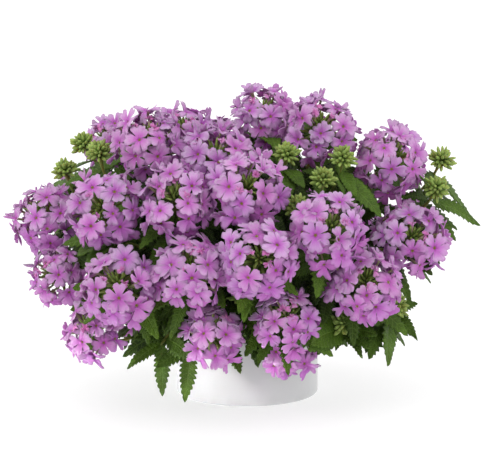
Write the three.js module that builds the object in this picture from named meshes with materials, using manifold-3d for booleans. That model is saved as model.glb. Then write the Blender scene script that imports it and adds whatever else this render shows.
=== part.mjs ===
// A verbena in full bloom, standing in its pot.
//
// A black growing pot of soil stands inside a low white cover pot. Branching square stems rise from
// plain holes in the soil. Each shoot carries toothed leaves and ends in a flower head: a domed ring
// of florets, each with five wide petals, around a tuft of green buds. Some shoots still end in a
// closed green tuft.
//
// Millimetres, +Z up. The origin is the centre of the cover pot's flat foot, and the plant is
// widest along X. The heads lean towards -Y, the side that it is shown from.
import * as THREE from "three";
import { ConvexHull } from "three/addons/math/ConvexHull.js";
import { mergeVertices } from "three/addons/utils/BufferGeometryUtils.js";
import Module from "manifold-3d";

// ---------------------------------------------------------------- driving dimensions
const GAP = 0.3; // between touching pieces
const POT = { radius: 60, height: 54, wall: 3, floor: 4, foot: 1.5, sides: 24 };
const LINER = { topRadius: 54, baseRadius: 48, height: 66, wall: 1.4, lip: 2, lipHeight: 6, sides: 20 };
const SOIL = { top: 60, sides: 20 };
const HOLE = { depth: 10, radius: 2.2, sides: 4 };
const STEM = { radius: 1.7, straight: 4, fork: 0.42, lift: 14, clearOfRim: 84 };
const HEAD = { limbSphere: 26.5, coreSphere: 16.5, room: 29, roundsOfSettling: 80 };
const FLORET = { rim: 12.3, notch: 5.6, dish: 1.6, corner: 23, root: 1.8 };
const TUFT = { radius: 5.2, low: -7, stalk: 14, high: 13.6, valley: 16, budRadius: 7.6, budHeight: 24 };
const CORE = { top: 14, bottom: -9 };
const BUD_HEAD = { radius: 5, reach: 13.5, stalk: 9, room: 16 };
const LEAF = {
  length: 46,
  longest: 56,
  width: 18,
  teeth: 3,
  ridge: 0.75,
  droop: 0.25,
  fold: 0.12,
  turnOut: 1.5, // how far the face turns outwards, against 1 upwards
  heart: 90, // outwards is away from a point this far behind the pot's axis
  lowest: 46, // for the leaves that aren't placed by hand
};

// The florets of a head, ring by ring: how many, and how far each ring leans out from the head's
// axis, in degrees. A young head is smaller and has one ring open.
const FULL = {
  size: 1,
  rings: [
    { count: 3, lean: 45 },
    { count: 6, lean: 92 },
  ],
};
const YOUNG = { size: 0.85, rings: [{ count: 6, lean: 68 }] };

// ---------------------------------------------------------------- the plant, branch by branch
// hole: the trunk's place in the soil, as [distance from the middle, degrees round from -Y to +X].
// heads and buds: the middle of each as [x, y, z, degrees that it faces round from -Y to +X,
// degrees above the horizon]; young heads are marked so. twigs: the ends of leafy side shoots.
// leaves: the largest leaves in view, as [x, y, z of the root, x, y, z of the tip].
const BRANCHES = [
  {
    name: "low_left",
    hole: [40, -52],
    heads: [
      [-122, -92, 70, -40, 30, YOUNG],
      [-98, -44, 90, -10, 40],
    ],
    twigs: [
      [-70, -84, 58, -30, -30],
      [-46, -82, 52, -10, -30],
    ],
    leaves: [
      [-46, -82, 52, -51, -88, 11],
      [-70, -84, 58, -69, -92, 17],
      [-70, -84, 58, -98, -84, 38],
      [-46, -82, 52, -74, -96, 42],
    ],
  },
  {
    name: "left",
    hole: [36, -84],
    heads: [
      [-166, -10, 152, -50, 35],
      [-154, -40, 106, -40, 15, YOUNG],
    ],
    buds: [[-153, 14, 186, -40, 65]],
  },
  {
    name: "mid_left",
    hole: [28, -45],
    heads: [
      [-96, -126, 113, -5, 35],
      [-112, -91, 170, -12, 18],
    ],
    twigs: [[-106, -62, 138, -70, 0]],
    leaves: [
      [-106, -62, 138, -155, -82, 139],
      [-106, -62, 138, -130, -104, 108],
    ],
  },
  {
    name: "inner_left",
    hole: [20, -20],
    heads: [
      [-56, -104, 177, 0, 35],
      [-27, -58, 203, -5, 45],
    ],
  },
  {
    name: "middle",
    hole: [30, -8],
    heads: [
      [-46, -130, 125, 5, 42],
      [6, -145, 138, 0, 18],
    ],
  },
  {
    name: "low_front",
    hole: [42, 4],
    heads: [
      [-28, -120, 72, 12, 48, YOUNG],
      [31, -124, 87, 8, 32, YOUNG],
      [33, -80, 56, 8, 0, YOUNG],
    ],
    buds: [[-4, -94, 99, 0, 60]],
  },
  {
    name: "upper_middle",
    hole: [16, 8],
    heads: [[0, -100, 185, 0, 25]],
    buds: [
      [37, -92, 172, 5, 72],
      [59, -78, 189, 10, 68],
    ],
  },
  {
    name: "mid_right",
    hole: [31, 34],
    heads: [
      [65, -124, 154, 10, 30],
      [90, -108, 113, 5, 32],
    ],
    buds: [[79, -86, 77, 0, 45]],
    leaves: [
      [78, -80, 72, 40, -128, 60],
      [86, -82, 74, 92, -92, 50],
    ],
  },
  {
    name: "right",
    hole: [33, 66],
    heads: [
      [132, -54, 139, 15, 25],
      [120, -20, 198, 20, 25],
    ],
    buds: [
      [154, -36, 179, 15, 40],
      [120, -66, 86, 20, 40],
      [163, 6, 196, 20, 45],
    ],
    leaves: [
      [154, -15, 169, 192, -28, 146],
      [112, -72, 80, 112, -94, 43],
      [116, -72, 78, 136, -82, 64],
    ],
  },
  {
    name: "top_right",
    hole: [12, 80],
    heads: [
      [14, 10, 233, 5, 45, YOUNG],
      [59, -18, 223, 10, 45],
    ],
    buds: [
      [32, -48, 207, 10, 60],
      [77, -52, 205, 15, 60],
    ],
    leaves: [
      [60, -20, 180, 92, -60, 170],
      [32, -48, 196, 46, -72, 184],
    ],
  },
  {
    name: "top_left",
    hole: [11, -110],
    heads: [
      [-85, -40, 214, 0, 48],
      [-53, 8, 217, 0, 55, YOUNG],
    ],
    buds: [[-116, -28, 207, -10, 60]],
  },
  {
    name: "back_left",
    hole: [30, -118],
    heads: [
      [-119, 68, 202, -40, 40, YOUNG],
      [-151, 58, 149, -110, 30, YOUNG],
    ],
    buds: [[-141, 30, 204, -40, 50]],
  },
  {
    name: "back_lower_left",
    hole: [34, -148],
    heads: [
      [-92, 98, 150, -140, 40, YOUNG],
      [-104, 92, 94, -130, 20, YOUNG],
    ],
  },
  {
    name: "back",
    hole: [26, -172],
    heads: [
      [-38, 118, 142, -165, 30],
      [-28, 84, 202, -170, 60, YOUNG],
      [0, 122, 82, 180, 15, YOUNG],
    ],
  },
  {
    name: "back_right",
    hole: [24, 158],
    heads: [
      [28, 122, 150, 170, 35],
      [46, 74, 214, 150, 60, YOUNG],
    ],
  },
  {
    name: "back_far_right",
    hole: [34, 120],
    heads: [
      [92, 100, 118, 135, 25],
      [122, 64, 186, 120, 45, YOUNG],
      [142, 36, 130, 100, 20],
    ],
  },
];

const wasm = await Module();
wasm.setup();

const UP = new THREE.Vector3(0, 0, 1);
const radians = THREE.MathUtils.degToRad;

// ---------------------------------------------------------------- solids and meshes
// A closed solid from its corner points and its triangles, given as triples of point numbers.
function solidFrom(points, triangles) {
  return new wasm.Manifold(
    new wasm.Mesh({
      numProp: 3,
      vertProperties: new Float32Array(points.flatMap((p) => p.toArray())),
      triVerts: new Uint32Array(triangles.flat()),
    }),
  );
}

// A closed solid from a closed three.js geometry.
function solidOf(geometry) {
  const bare = geometry.clone();
  bare.deleteAttribute("normal");
  bare.deleteAttribute("uv");
  const merged = mergeVertices(bare, 1e-4);
  return new wasm.Manifold(
    new wasm.Mesh({
      numProp: 3,
      vertProperties: new Float32Array(merged.attributes.position.array),
      triVerts: new Uint32Array(merged.index.array),
    }),
  );
}

function geometryOf(solid) {
  const mesh = solid.getMesh();
  const geometry = new THREE.BufferGeometry();
  geometry.setAttribute("position", new THREE.BufferAttribute(new Float32Array(mesh.vertProperties), 3));
  geometry.setIndex(new THREE.BufferAttribute(new Uint32Array(mesh.triVerts), 1));
  return geometry;
}

const joined = (solids) => solids.reduce((whole, next) => whole.add(next));

// Triangles between two chains of point numbers, each with a rising measure along it.
function zip(lower, upper, lowerAt, upperAt) {
  const triangles = [];
  let i = 0;
  let j = 0;
  while (i < lower.length - 1 || j < upper.length - 1) {
    const lowerNext = i < lower.length - 1 ? lowerAt[i + 1] : Infinity;
    const upperNext = j < upper.length - 1 ? upperAt[j + 1] : Infinity;
    if (lowerNext <= upperNext) {
      triangles.push([lower[i], lower[i + 1], upper[j]]);
      i += 1;
    } else {
      triangles.push([lower[i], upper[j + 1], upper[j]]);
      j += 1;
    }
  }
  return triangles;
}

// ---------------------------------------------------------------- directions and places
function facing(round, above) {
  const flat = Math.cos(radians(above));
  return new THREE.Vector3(
    Math.sin(radians(round)) * flat,
    -Math.cos(radians(round)) * flat,
    Math.sin(radians(above)),
  );
}

// A frame whose third axis is the one given, turned about it by spin degrees.
function frameAbout(axis, spin) {
  const side = new THREE.Vector3().crossVectors(UP, axis);
  if (side.length() < 1e-6) side.set(1, 0, 0);
  side.normalize();
  const front = new THREE.Vector3().crossVectors(axis, side);
  const c = Math.cos(radians(spin));
  const s = Math.sin(radians(spin));
  return {
    a: side.clone().multiplyScalar(c).addScaledVector(front, s),
    b: front.clone().multiplyScalar(c).addScaledVector(side, -s),
    w: axis.clone(),
  };
}

const placed = (origin, frame, a, b, w) =>
  origin.clone().addScaledVector(frame.a, a).addScaledVector(frame.b, b).addScaledVector(frame.w, w);

// The same by an angle in degrees about the frame's third axis and a distance from it.
const around = (origin, frame, angle, radius, w) =>
  placed(origin, frame, Math.cos(radians(angle)) * radius, Math.sin(radians(angle)) * radius, w);

// Neighbouring heads jostle for room: each pair nearer than their rooms allow is pushed apart by
// halves, round after round.
function settle(heads) {
  for (let round = 0; round < HEAD.roundsOfSettling; round += 1) {
    for (let i = 0; i < heads.length; i += 1) {
      for (let j = i + 1; j < heads.length; j += 1) {
        const away = heads[j].middle.clone().sub(heads[i].middle);
        const short = heads[i].room + heads[j].room - away.length();
        if (short <= 0) continue;
        away.normalize().multiplyScalar(short / 2);
        heads[j].middle.add(away);
        heads[i].middle.sub(away);
      }
    }
  }
}

// ---------------------------------------------------------------- the pots and the soil
function lathe(profile, sides) {
  const outline = profile.map(([r, z]) => new THREE.Vector2(r, z));
  return new THREE.LatheGeometry([...outline, outline[0]], sides).rotateX(Math.PI / 2);
}

function coverPotSolid() {
  const { radius, height, wall, floor, foot, sides } = POT;
  return solidOf(
    lathe(
      [
        [0, 0],
        [radius - foot, 0],
        [radius, foot],
        [radius, height],
        [radius - wall, height],
        [radius - wall, floor],
        [0, floor],
      ],
      sides,
    ),
  );
}

// The growing pot tapers down to its floor and has a thicker lip around its mouth.
function linerSolid() {
  const { topRadius, baseRadius, height, wall, lip, lipHeight, sides } = LINER;
  const base = POT.floor + GAP;
  return solidOf(
    lathe(
      [
        [0, base],
        [baseRadius, base],
        [topRadius, height - lipHeight],
        [topRadius + lip, height - lipHeight],
        [topRadius + lip, height],
        [topRadius - wall, height],
        [baseRadius - wall, base + wall],
        [0, base + wall],
      ],
      sides,
    ),
  );
}

function holePlace([distance, round]) {
  return new THREE.Vector3(Math.sin(radians(round)) * distance, -Math.cos(radians(round)) * distance, 0);
}

function soilSolid() {
  const { topRadius, baseRadius, height, wall } = LINER;
  const base = POT.floor + GAP + wall + GAP;
  const bore = (z) => baseRadius - wall + ((topRadius - baseRadius) * (z - POT.floor)) / (height - POT.floor);
  const soil = solidOf(
    lathe(
      [
        [0, base],
        [bore(base) - 2 * GAP, base],
        [bore(SOIL.top) - 2 * GAP, SOIL.top],
        [0, SOIL.top],
      ],
      SOIL.sides,
    ),
  );
  return BRANCHES.reduce((left, { hole }) => {
    const plug = new THREE.CylinderGeometry(HOLE.radius, HOLE.radius, 2 * HOLE.depth, HOLE.sides);
    const at = holePlace(hole);
    return left.subtract(solidOf(plug.rotateX(Math.PI / 2).translate(at.x, at.y, SOIL.top)));
  }, soil);
}

// ---------------------------------------------------------------- a flower head
// The directions of a head's florets in its own frame, with the turn of each floret about its tube.
function floretPlaces(rings) {
  return rings.flatMap(({ count, lean }, ring) =>
    Array.from({ length: count }, (_, k) => ({
      round: (360 * (k + 0.5 * ring)) / count,
      lean,
      spin: 36 * k + 20 * ring,
    })),
  );
}

// The triangles of the smallest convex skin round the points, as triples of point numbers.
function hullTriangles(points) {
  const numberOf = new Map(points.map((point, i) => [point, i]));
  return new ConvexHull().setFromPoints(points).faces.map((face) => {
    const edges = [face.edge, face.edge.next, face.edge.next.next];
    return edges.map((edge) => numberOf.get(edge.head().point));
  });
}

// A head's coloured part is one body. Its core is the hull of the florets' roots and of the two
// mouths of the bore that the green tuft stands in. Each floret widens from its root to a dished
// star of five blunt petals.
function headSolid({ middle, axis, spin, stage }) {
  const points = [];
  const owner = [];
  const keep = (point, floret) => {
    owner.push(floret);
    return points.push(point) - 1;
  };
  const frame = frameAbout(axis, spin);
  const florets = floretPlaces(stage.rings).map(({ round, lean, spin: turn }, n) => {
    const direction = around(
      new THREE.Vector3(),
      frame,
      round,
      Math.sin(radians(lean)),
      Math.cos(radians(lean)),
    );
    const own = frameAbout(direction, turn);
    const ring = (angle, radius, rise) => around(middle, own, angle, stage.size * radius, stage.size * rise);
    const roots = [0, 120, 240].map((angle) => keep(ring(angle, FLORET.root, HEAD.coreSphere), n));
    return { ring, roots };
  });
  const boreRadius = TUFT.radius + GAP / Math.cos(Math.PI / 5);
  const [upper, lower] = [CORE.top, CORE.bottom].map((w) =>
    [0, 72, 144, 216, 288].map((angle) => keep(around(middle, frame, angle, boreRadius, w), w)),
  );
  const triangles = hullTriangles(points).filter(
    ([i, j, k]) => owner[i] !== owner[j] || owner[j] !== owner[k],
  );
  for (let i = 0; i < 5; i += 1) {
    const next = (i + 1) % 5;
    triangles.push([upper[i], upper[next], lower[i]], [lower[i], upper[next], lower[next]]);
  }
  for (const { roots, ring } of florets) {
    const heart = keep(ring(0, 0, HEAD.limbSphere - FLORET.dish));
    const outline = [];
    const outlineAt = [];
    for (let petal = 0; petal < 5; petal += 1) {
      for (const [angle, radius, rise] of [
        [-36, FLORET.notch, -0.9],
        [-FLORET.corner, FLORET.rim, 0],
        [FLORET.corner, FLORET.rim, 0],
      ]) {
        outline.push(keep(ring(72 * petal + angle, radius, HEAD.limbSphere + rise)));
        outlineAt.push(72 * petal + angle);
      }
    }
    outline.push(outline[0]);
    outlineAt.push(360 - 36);
    for (let i = 0; i < 15; i += 1) triangles.push([heart, outline[i], outline[i + 1]]);
    triangles.push(...zip([...roots, roots[0]], outline, [-60, 60, 180, 300], outlineAt));
  }
  return solidFrom(points, triangles);
}

// The green tuft of unopened buds fills the head's bore. It is welded to the last ring of its stem.
function addTuft(mesh, { middle, axis, spin }) {
  const frame = frameAbout(axis, spin);
  const ring = (turn, radius, w) =>
    [0, 72, 144, 216, 288].map((angle) => mesh.keep(around(middle, frame, angle + turn, radius, w)));
  const low = ring(0, TUFT.radius, TUFT.low);
  const high = ring(0, TUFT.radius, TUFT.high);
  const valley = mesh.keep(around(middle, frame, 0, 0, TUFT.valley));
  mesh.collar(low, middle, frame);
  for (let i = 0; i < 5; i += 1) {
    const next = (i + 1) % 5;
    const spread = i % 2 ? 1 : 0.7;
    const height = TUFT.budHeight + (1 - spread) * 8;
    const bud = mesh.keep(around(middle, frame, 72 * i + 36, TUFT.budRadius * spread, height));
    mesh.triangles.push([low[i], low[next], high[next]], [low[i], high[next], high[i]]);
    mesh.triangles.push([high[i], high[next], bud], [high[next], valley, bud], [valley, high[i], bud]);
  }
}

// A head that hasn't opened: a small dome with a pointed bud raised from each of its faces.
function addBudHead(mesh, { middle, axis, spin }) {
  const frame = frameAbout(axis, spin);
  const r = BUD_HEAD.radius;
  const ring = (turn, radius, w) =>
    [0, 60, 120, 180, 240, 300].map((angle) => mesh.keep(around(middle, frame, angle + turn, radius, w)));
  const low = ring(0, r, -r * 0.4);
  const high = ring(30, r * 0.8, r * 0.7);
  const top = mesh.keep(around(middle, frame, 0, 0, r * 1.2));
  mesh.collar(low, middle, frame);
  for (let i = 0; i < 6; i += 1) {
    const next = (i + 1) % 6;
    for (const face of [
      [low[i], low[next], high[i]],
      [high[i], low[next], high[next]],
      [high[i], high[next], top],
    ]) {
      const [p, q, t] = face.map((corner) => mesh.points[corner]);
      const out = p.clone().add(q).add(t).divideScalar(3).sub(middle).addScaledVector(axis, r * 0.6);
      const tip = mesh.keep(middle.clone().add(out.normalize().multiplyScalar(BUD_HEAD.reach)));
      face.forEach((corner, k) => mesh.triangles.push([corner, face[(k + 1) % 3], tip]));
    }
  }
}

// ---------------------------------------------------------------- stems
// The trunk rises straight out of its hole and bends towards the middle of what it carries. Its
// fork stays clear of the growing pot's rim.
function trunkOf(hole, ends) {
  const foot = holePlace(hole).setZ(SOIL.top + STEM.straight);
  const mean = ends.reduce((sum, end) => sum.add(end), new THREE.Vector3()).divideScalar(ends.length);
  const fork = foot.clone().lerp(mean, STEM.fork);
  fork.z = Math.max(fork.z + STEM.lift, STEM.clearOfRim);
  const way = mean.clone().sub(fork).normalize();
  const reach = foot.distanceTo(fork);
  return new THREE.CubicBezierCurve3(
    foot,
    foot.clone().addScaledVector(UP, 0.55 * reach),
    fork.clone().addScaledVector(way, -0.3 * reach),
    fork,
  );
}

// Shoot number n leaves the trunk n steps below its fork and runs in behind its end along the
// end's axis. The first shoot carries on from the fork.
function shootOf(trunk, n, end, axis) {
  const start = trunk.getPoint(1 - 0.12 * n);
  const reach = start.distanceTo(end);
  const way = end.clone().sub(start).normalize();
  way.addScaledVector(trunk.getTangent(1 - 0.12 * n), n === 0 ? 20 : 0.6).normalize();
  return new THREE.CubicBezierCurve3(
    start,
    start.clone().addScaledVector(way, 0.35 * reach),
    end.clone().addScaledVector(axis, -0.35 * reach),
    end,
  );
}

// A stem of square section through its stations, with its tuft, bud head or cut end. A side shoot
// starts from a point inside its trunk.
function stemSolid(heel, stations, finish) {
  const mesh = { points: [], triangles: [], keep: (point) => mesh.points.push(point) - 1 };
  let side = Math.abs(stations[0].way.x) < 0.9 ? new THREE.Vector3(1, 0, 0) : new THREE.Vector3(0, 1, 0);
  const rings = stations.map(({ point, way }) => {
    side = side.clone().addScaledVector(way, -side.dot(way)).normalize();
    const frame = { a: side, b: new THREE.Vector3().crossVectors(way, side), w: way };
    return [0, 90, 180, 270].map((angle) => mesh.keep(around(point, frame, angle, STEM.radius, 0)));
  });
  const bottom = mesh.keep(heel);
  for (let k = 0; k < 4; k += 1) mesh.triangles.push([rings[0][k], bottom, rings[0][(k + 1) % 4]]);
  for (let n = 1; n < rings.length; n += 1) {
    for (let k = 0; k < 4; k += 1) {
      const next = (k + 1) % 4;
      mesh.triangles.push([rings[n - 1][k], rings[n - 1][next], rings[n][next]]);
      mesh.triangles.push([rings[n - 1][k], rings[n][next], rings[n][k]]);
    }
  }
  const last = rings.at(-1);
  mesh.collar = (ring, middle, frame) => {
    const angleOf = (corner) => {
      const out = mesh.points[corner].clone().sub(middle);
      return THREE.MathUtils.radToDeg(Math.atan2(out.dot(frame.b), out.dot(frame.a)));
    };
    const first = last.findIndex((corner) => Math.abs(angleOf(corner)) <= 45.01);
    const lower = [0, 1, 2, 3, 4].map((k) => last[(first + k) % 4]);
    const from = angleOf(last[first]);
    const lowerAt = [0, 90, 180, 270, 360].map((angle) => from + angle);
    const upperAt = [...ring, 0].map((_, k) => (360 * k) / ring.length);
    mesh.triangles.push(...zip(lower, [...ring, ring[0]], lowerAt, upperAt));
  };
  finish(mesh, last);
  return solidFrom(mesh.points, mesh.triangles);
}

const station = (curve, at) => ({ point: curve.getPoint(at), way: curve.getTangent(at) });

// The stations of shoot n from its start to its end. The first shoot's line takes in the trunk.
function shootLine(hole, trunk, shoots, n) {
  const later = [0.4, 0.75, 1].map((at) => station(shoots[n], at));
  if (n > 0) return [station(shoots[n], 5 / shoots[n].getLength()), ...later];
  const foot = holePlace(hole).setZ(SOIL.top - HOLE.depth + GAP + 1);
  return [{ point: foot, way: UP.clone() }, ...[0, 0.4, 0.7, 1].map((at) => station(trunk, at)), ...later];
}

// Places spread along a line of stations, with the way that the line runs there.
function along(line) {
  return line.slice(1).flatMap(({ point }, n) => {
    const from = line[n].point;
    const way = point.clone().sub(from);
    const count = Math.ceil(way.length() / 6);
    return Array.from({ length: count }, (_, k) => ({
      point: from.clone().addScaledVector(way, (k + 0.5) / count),
      way: way.clone().normalize(),
    }));
  });
}

function shootSolid({ hole, shoots, lines, carried }, n) {
  const heel = n > 0 ? shoots[n].getPoint(0) : holePlace(hole).setZ(SOIL.top - HOLE.depth + GAP);
  return stemSolid(heel, lines[n], (mesh, last) => {
    if (carried[n].kind === "head") addTuft(mesh, carried[n]);
    else if (carried[n].kind === "bud") addBudHead(mesh, carried[n]);
    else mesh.triangles.push([last[0], last[1], last[2]], [last[0], last[2], last[3]]);
  });
}

// ---------------------------------------------------------------- leaves
// The half width of a leaf at a share s of its length: an oval, widest before its middle.
const leafHalfWidth = (s) => 0.5 * Math.sin(Math.PI * s ** 0.8) ** 0.75;

// A point of a leaf: s runs along it, side across it in leaf widths, lift is its height above the
// leaf's middle sheet. Its face turns up and outwards, the sides fold up a little and the leaf
// droops towards its tip.
function leafPoint({ root, way, length }, s, side, lift) {
  const outwards = new THREE.Vector3(root.x, root.y - LEAF.heart, 0).setLength(LEAF.turnOut);
  const across = outwards.add(UP).cross(way).normalize();
  const over = new THREE.Vector3().crossVectors(way, across);
  const width = (LEAF.width * length) / LEAF.length;
  const point = root.clone().addScaledVector(way, length * s * (1 - 0.08 * s));
  point.addScaledVector(across, side * width);
  point.addScaledVector(over, lift + LEAF.fold * Math.abs(side) * width);
  point.z -= LEAF.droop * length * s * s;
  return point;
}

// A leaf is a blade with a toothed edge, thickest along its rib and split into triangles alike on
// both faces. It starts from a point inside its stem.
function leafSolid(leaf) {
  const points = [];
  const triangles = [];
  const keep = (s, side, lift) => points.push(leafPoint(leaf, s, side, lift)) - 1;
  const edge = [[0.07, 0.045]];
  for (let tooth = 0; tooth < LEAF.teeth; tooth += 1) {
    const s = 0.18 + (0.62 * tooth) / (LEAF.teeth - 1);
    edge.push([s, 0.72 * leafHalfWidth(s)], [s + 0.13, leafHalfWidth(s + 0.08)]);
  }
  const edgeAt = [...edge.map(([s]) => s), 1];
  const heel = keep(0, 0, 0);
  const tip = keep(1, 0, 0);
  const ribAt = [0.07, 0.36, 0.68, 1];
  const top = [...ribAt.slice(0, 3).map((s) => keep(s, 0, LEAF.ridge)), tip];
  const bottom = [...ribAt.slice(0, 3).map((s) => keep(s, 0, -LEAF.ridge)), tip];
  for (const sign of [1, -1]) {
    const margin = [...edge.map(([s, side]) => keep(s, sign * side, 0)), tip];
    const faces = [
      ...zip(margin, top, edgeAt, ribAt),
      ...zip(margin, bottom, edgeAt, ribAt).map(([i, j, k]) => [i, k, j]),
      [heel, margin[0], top[0]],
      [heel, bottom[0], margin[0]],
    ].filter(([i, j, k]) => i !== j && j !== k && k !== i);
    triangles.push(...(sign < 0 ? faces : faces.map(([i, j, k]) => [i, k, j])));
  }
  return solidFrom(points, triangles);
}

// A leaf by its root and tip: the way that it sets out so that it droops to that tip.
function leafTo(root, tip) {
  const chord = tip.clone().sub(root);
  let length = chord.length();
  const start = new THREE.Vector3();
  for (let pass = 0; pass < 4; pass += 1) {
    start.copy(chord).addScaledVector(UP, LEAF.droop * length);
    length = start.length() / 0.92;
  }
  return { root, way: start.normalize(), length: Math.min(length, LEAF.longest) };
}

// Points spread over a leaf's outer part, to measure its distance from its neighbours.
function leafSamples(leaf) {
  const samples = [];
  for (let i = 2; i <= 9; i += 1) {
    for (const share of [-0.9, -0.45, 0, 0.45, 0.9]) {
      samples.push(leafPoint(leaf, i / 9, share * leafHalfWidth(Math.min(i / 9, 0.98)), 0));
    }
  }
  return samples;
}

// Whether a leaf stands clear of the pots, the heads, the other branches' stems and the leaves
// that are already there.
function isClear(samples, own) {
  const near = (point, others, room) => others.some((other) => other.distanceToSquared(point) < room * room);
  return samples.every((point) => {
    if (Math.hypot(point.x, point.y) < POT.radius + 4 && point.z < LINER.height + 6) return false;
    if (point.z < LEAF.lowest) return false;
    return branches.every((branch) => {
      if (branch !== own && near(point, branch.stemPoints, 6.5)) return false;
      if (near(point, branch.leafPoints, 5.5)) return false;
      return branch.carried.every(({ kind, middle, axis, room }) => {
        const away = point.clone().sub(middle);
        return kind === "twig" || away.length() > room + 3 || (kind === "head" && away.dot(axis) < -16);
      });
    });
  });
}

// Leaves stand in opposite pairs. Each tries a few turns about its shoot until it stands clear.
function growLeaves(branch, { point: root, way: stemWay }, turns) {
  for (const turn of turns) {
    const tries = [65, 85, 45].flatMap((lean) => [0, 35, -35, 70, -70].map((swing) => [lean, swing]));
    for (const [lean, swing] of tries) {
      const { a } = frameAbout(stemWay, turn + swing);
      const way = stemWay.clone().multiplyScalar(Math.cos(radians(lean)));
      way.addScaledVector(a, Math.sin(radians(lean)));
      if (Math.abs(way.z) > 0.85) continue;
      const leaf = { root, way, length: LEAF.length };
      const samples = leafSamples(leaf);
      if (!isClear(samples, branch)) continue;
      branch.leaves.push(leaf);
      branch.leafPoints.push(...samples);
      break;
    }
  }
}

// ---------------------------------------------------------------- the whole plant
const branches = BRANCHES.map(({ name, hole, heads, buds = [], twigs = [], leaves = [] }, b) => {
  const kinds = {
    head: { rows: heads, depth: TUFT.stalk, room: HEAD.room },
    bud: { rows: buds, depth: BUD_HEAD.stalk, room: BUD_HEAD.room },
    twig: { rows: twigs, depth: 0, room: 0 },
  };
  const carried = Object.entries(kinds).flatMap(([kind, { rows, depth, room }]) =>
    rows.map(([x, y, z, round, above, stage = FULL], n) => ({
      kind,
      depth,
      stage,
      room: room * stage.size,
      middle: new THREE.Vector3(x, y, z),
      axis: facing(round, above),
      spin: 47 * n + 31 * b,
    })),
  );
  return { name, hole, carried, wanted: leaves, leaves: [], leafPoints: [] };
});
settle(branches.flatMap(({ carried }) => carried.filter(({ kind }) => kind !== "twig")));

for (const branch of branches) {
  const { hole, carried } = branch;
  const ends = carried.map(({ middle, axis, depth }) => middle.clone().addScaledVector(axis, -depth));
  const trunk = trunkOf(hole, ends);
  branch.shoots = ends.map((end, n) => shootOf(trunk, n, end, carried[n].axis));
  branch.lines = ends.map((_, n) => shootLine(hole, trunk, branch.shoots, n));
  branch.places = branch.lines.map(along);
  branch.stemPoints = branch.places.flat().map(({ point }) => point);
  for (const [x, y, z, tipX, tipY, tipZ] of branch.wanted) {
    const wanted = new THREE.Vector3(x, y, z);
    const root = branch.stemPoints.reduce((best, point) =>
      point.distanceTo(wanted) < best.distanceTo(wanted) ? point : best,
    );
    const leaf = leafTo(root, new THREE.Vector3(tipX, tipY, tipZ));
    branch.leaves.push(leaf);
    branch.leafPoints.push(...leafSamples(leaf));
  }
}
branches.forEach((branch, b) => {
  branch.places.slice(0, 2).forEach((places, n) => {
    const turn = 60 * n + 25 * b;
    growLeaves(branch, places.at(-5), n === 0 ? [turn, turn + 180] : [turn]);
  });
});

const colours = {
  pot: new THREE.MeshStandardMaterial({ color: 0xf2f2f2, roughness: 0.3, metalness: 0 }),
  liner: new THREE.MeshStandardMaterial({ color: 0x18181a, roughness: 0.55, metalness: 0 }),
  soil: new THREE.MeshStandardMaterial({ color: 0x2b2019, roughness: 1, metalness: 0 }),
  petal: new THREE.MeshStandardMaterial({ color: 0xc07cc4, roughness: 0.6, metalness: 0 }),
  leaf: new THREE.MeshStandardMaterial({ color: 0x3f6a25, roughness: 0.6, metalness: 0 }),
};

const plant = new THREE.Group();
function add(name, solid, material) {
  const mesh = new THREE.Mesh(geometryOf(solid), material);
  mesh.name = name;
  plant.add(mesh);
}

add("cover_pot", coverPotSolid(), colours.pot);
add("growing_pot", linerSolid(), colours.liner);
add("soil", soilSolid(), colours.soil);
for (const branch of branches) {
  const stems = branch.shoots.map((_, n) => shootSolid(branch, n));
  add(`shoots_${branch.name}`, joined([...stems, ...branch.leaves.map(leafSolid)]), colours.leaf);
  branch.carried
    .filter(({ kind }) => kind === "head")
    .forEach((head, n) => add(`head_${branch.name}_${n + 1}`, headSolid(head), colours.petal));
}

export default plant;
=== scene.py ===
"""The finished look of a verbena in full bloom, standing in its pot.

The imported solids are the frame. Every head, shoot and pot of it is dressed here with a finer piece:
florets of five notched petals, green calyces, toothed leaves with sunken veins, square stems, turned
pots and crumbly soil. Metres, +Z up, the same places as the solids. The layout tables are in
millimetres, as the solids' own.
"""
import functools
import math

import bpy
import numpy as np
from bpy.props import FloatProperty, FloatVectorProperty, IntProperty, PointerProperty
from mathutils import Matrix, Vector


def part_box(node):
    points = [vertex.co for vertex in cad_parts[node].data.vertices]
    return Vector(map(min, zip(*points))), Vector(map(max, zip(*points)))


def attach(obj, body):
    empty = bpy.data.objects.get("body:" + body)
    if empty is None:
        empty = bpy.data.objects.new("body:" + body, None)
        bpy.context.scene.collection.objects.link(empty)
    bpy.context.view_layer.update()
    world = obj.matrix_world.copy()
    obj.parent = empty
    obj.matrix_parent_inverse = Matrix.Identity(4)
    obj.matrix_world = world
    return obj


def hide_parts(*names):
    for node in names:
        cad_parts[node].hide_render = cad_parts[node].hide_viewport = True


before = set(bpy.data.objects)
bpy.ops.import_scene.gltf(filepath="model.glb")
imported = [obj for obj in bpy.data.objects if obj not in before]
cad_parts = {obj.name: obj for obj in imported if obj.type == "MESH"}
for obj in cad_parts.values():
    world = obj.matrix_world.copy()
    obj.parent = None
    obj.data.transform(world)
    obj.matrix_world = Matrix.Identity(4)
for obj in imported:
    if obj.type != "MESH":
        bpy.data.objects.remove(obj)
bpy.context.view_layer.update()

bl_info = {
    "name": "Potted verbena",
    "version": (1, 0, 0),
    "blender": (4, 5, 0),
    "location": "3D View > Sidebar > Verbena",
    "description": "Builds a flowering verbena in its pot round the packed frame",
    "category": "Add Mesh",
}

MM = 0.001
UP = np.array([0.0, 0.0, 1.0])
GOLDEN_ANGLE = 137.5  # degrees from one bud to the next on a spiral

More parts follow.
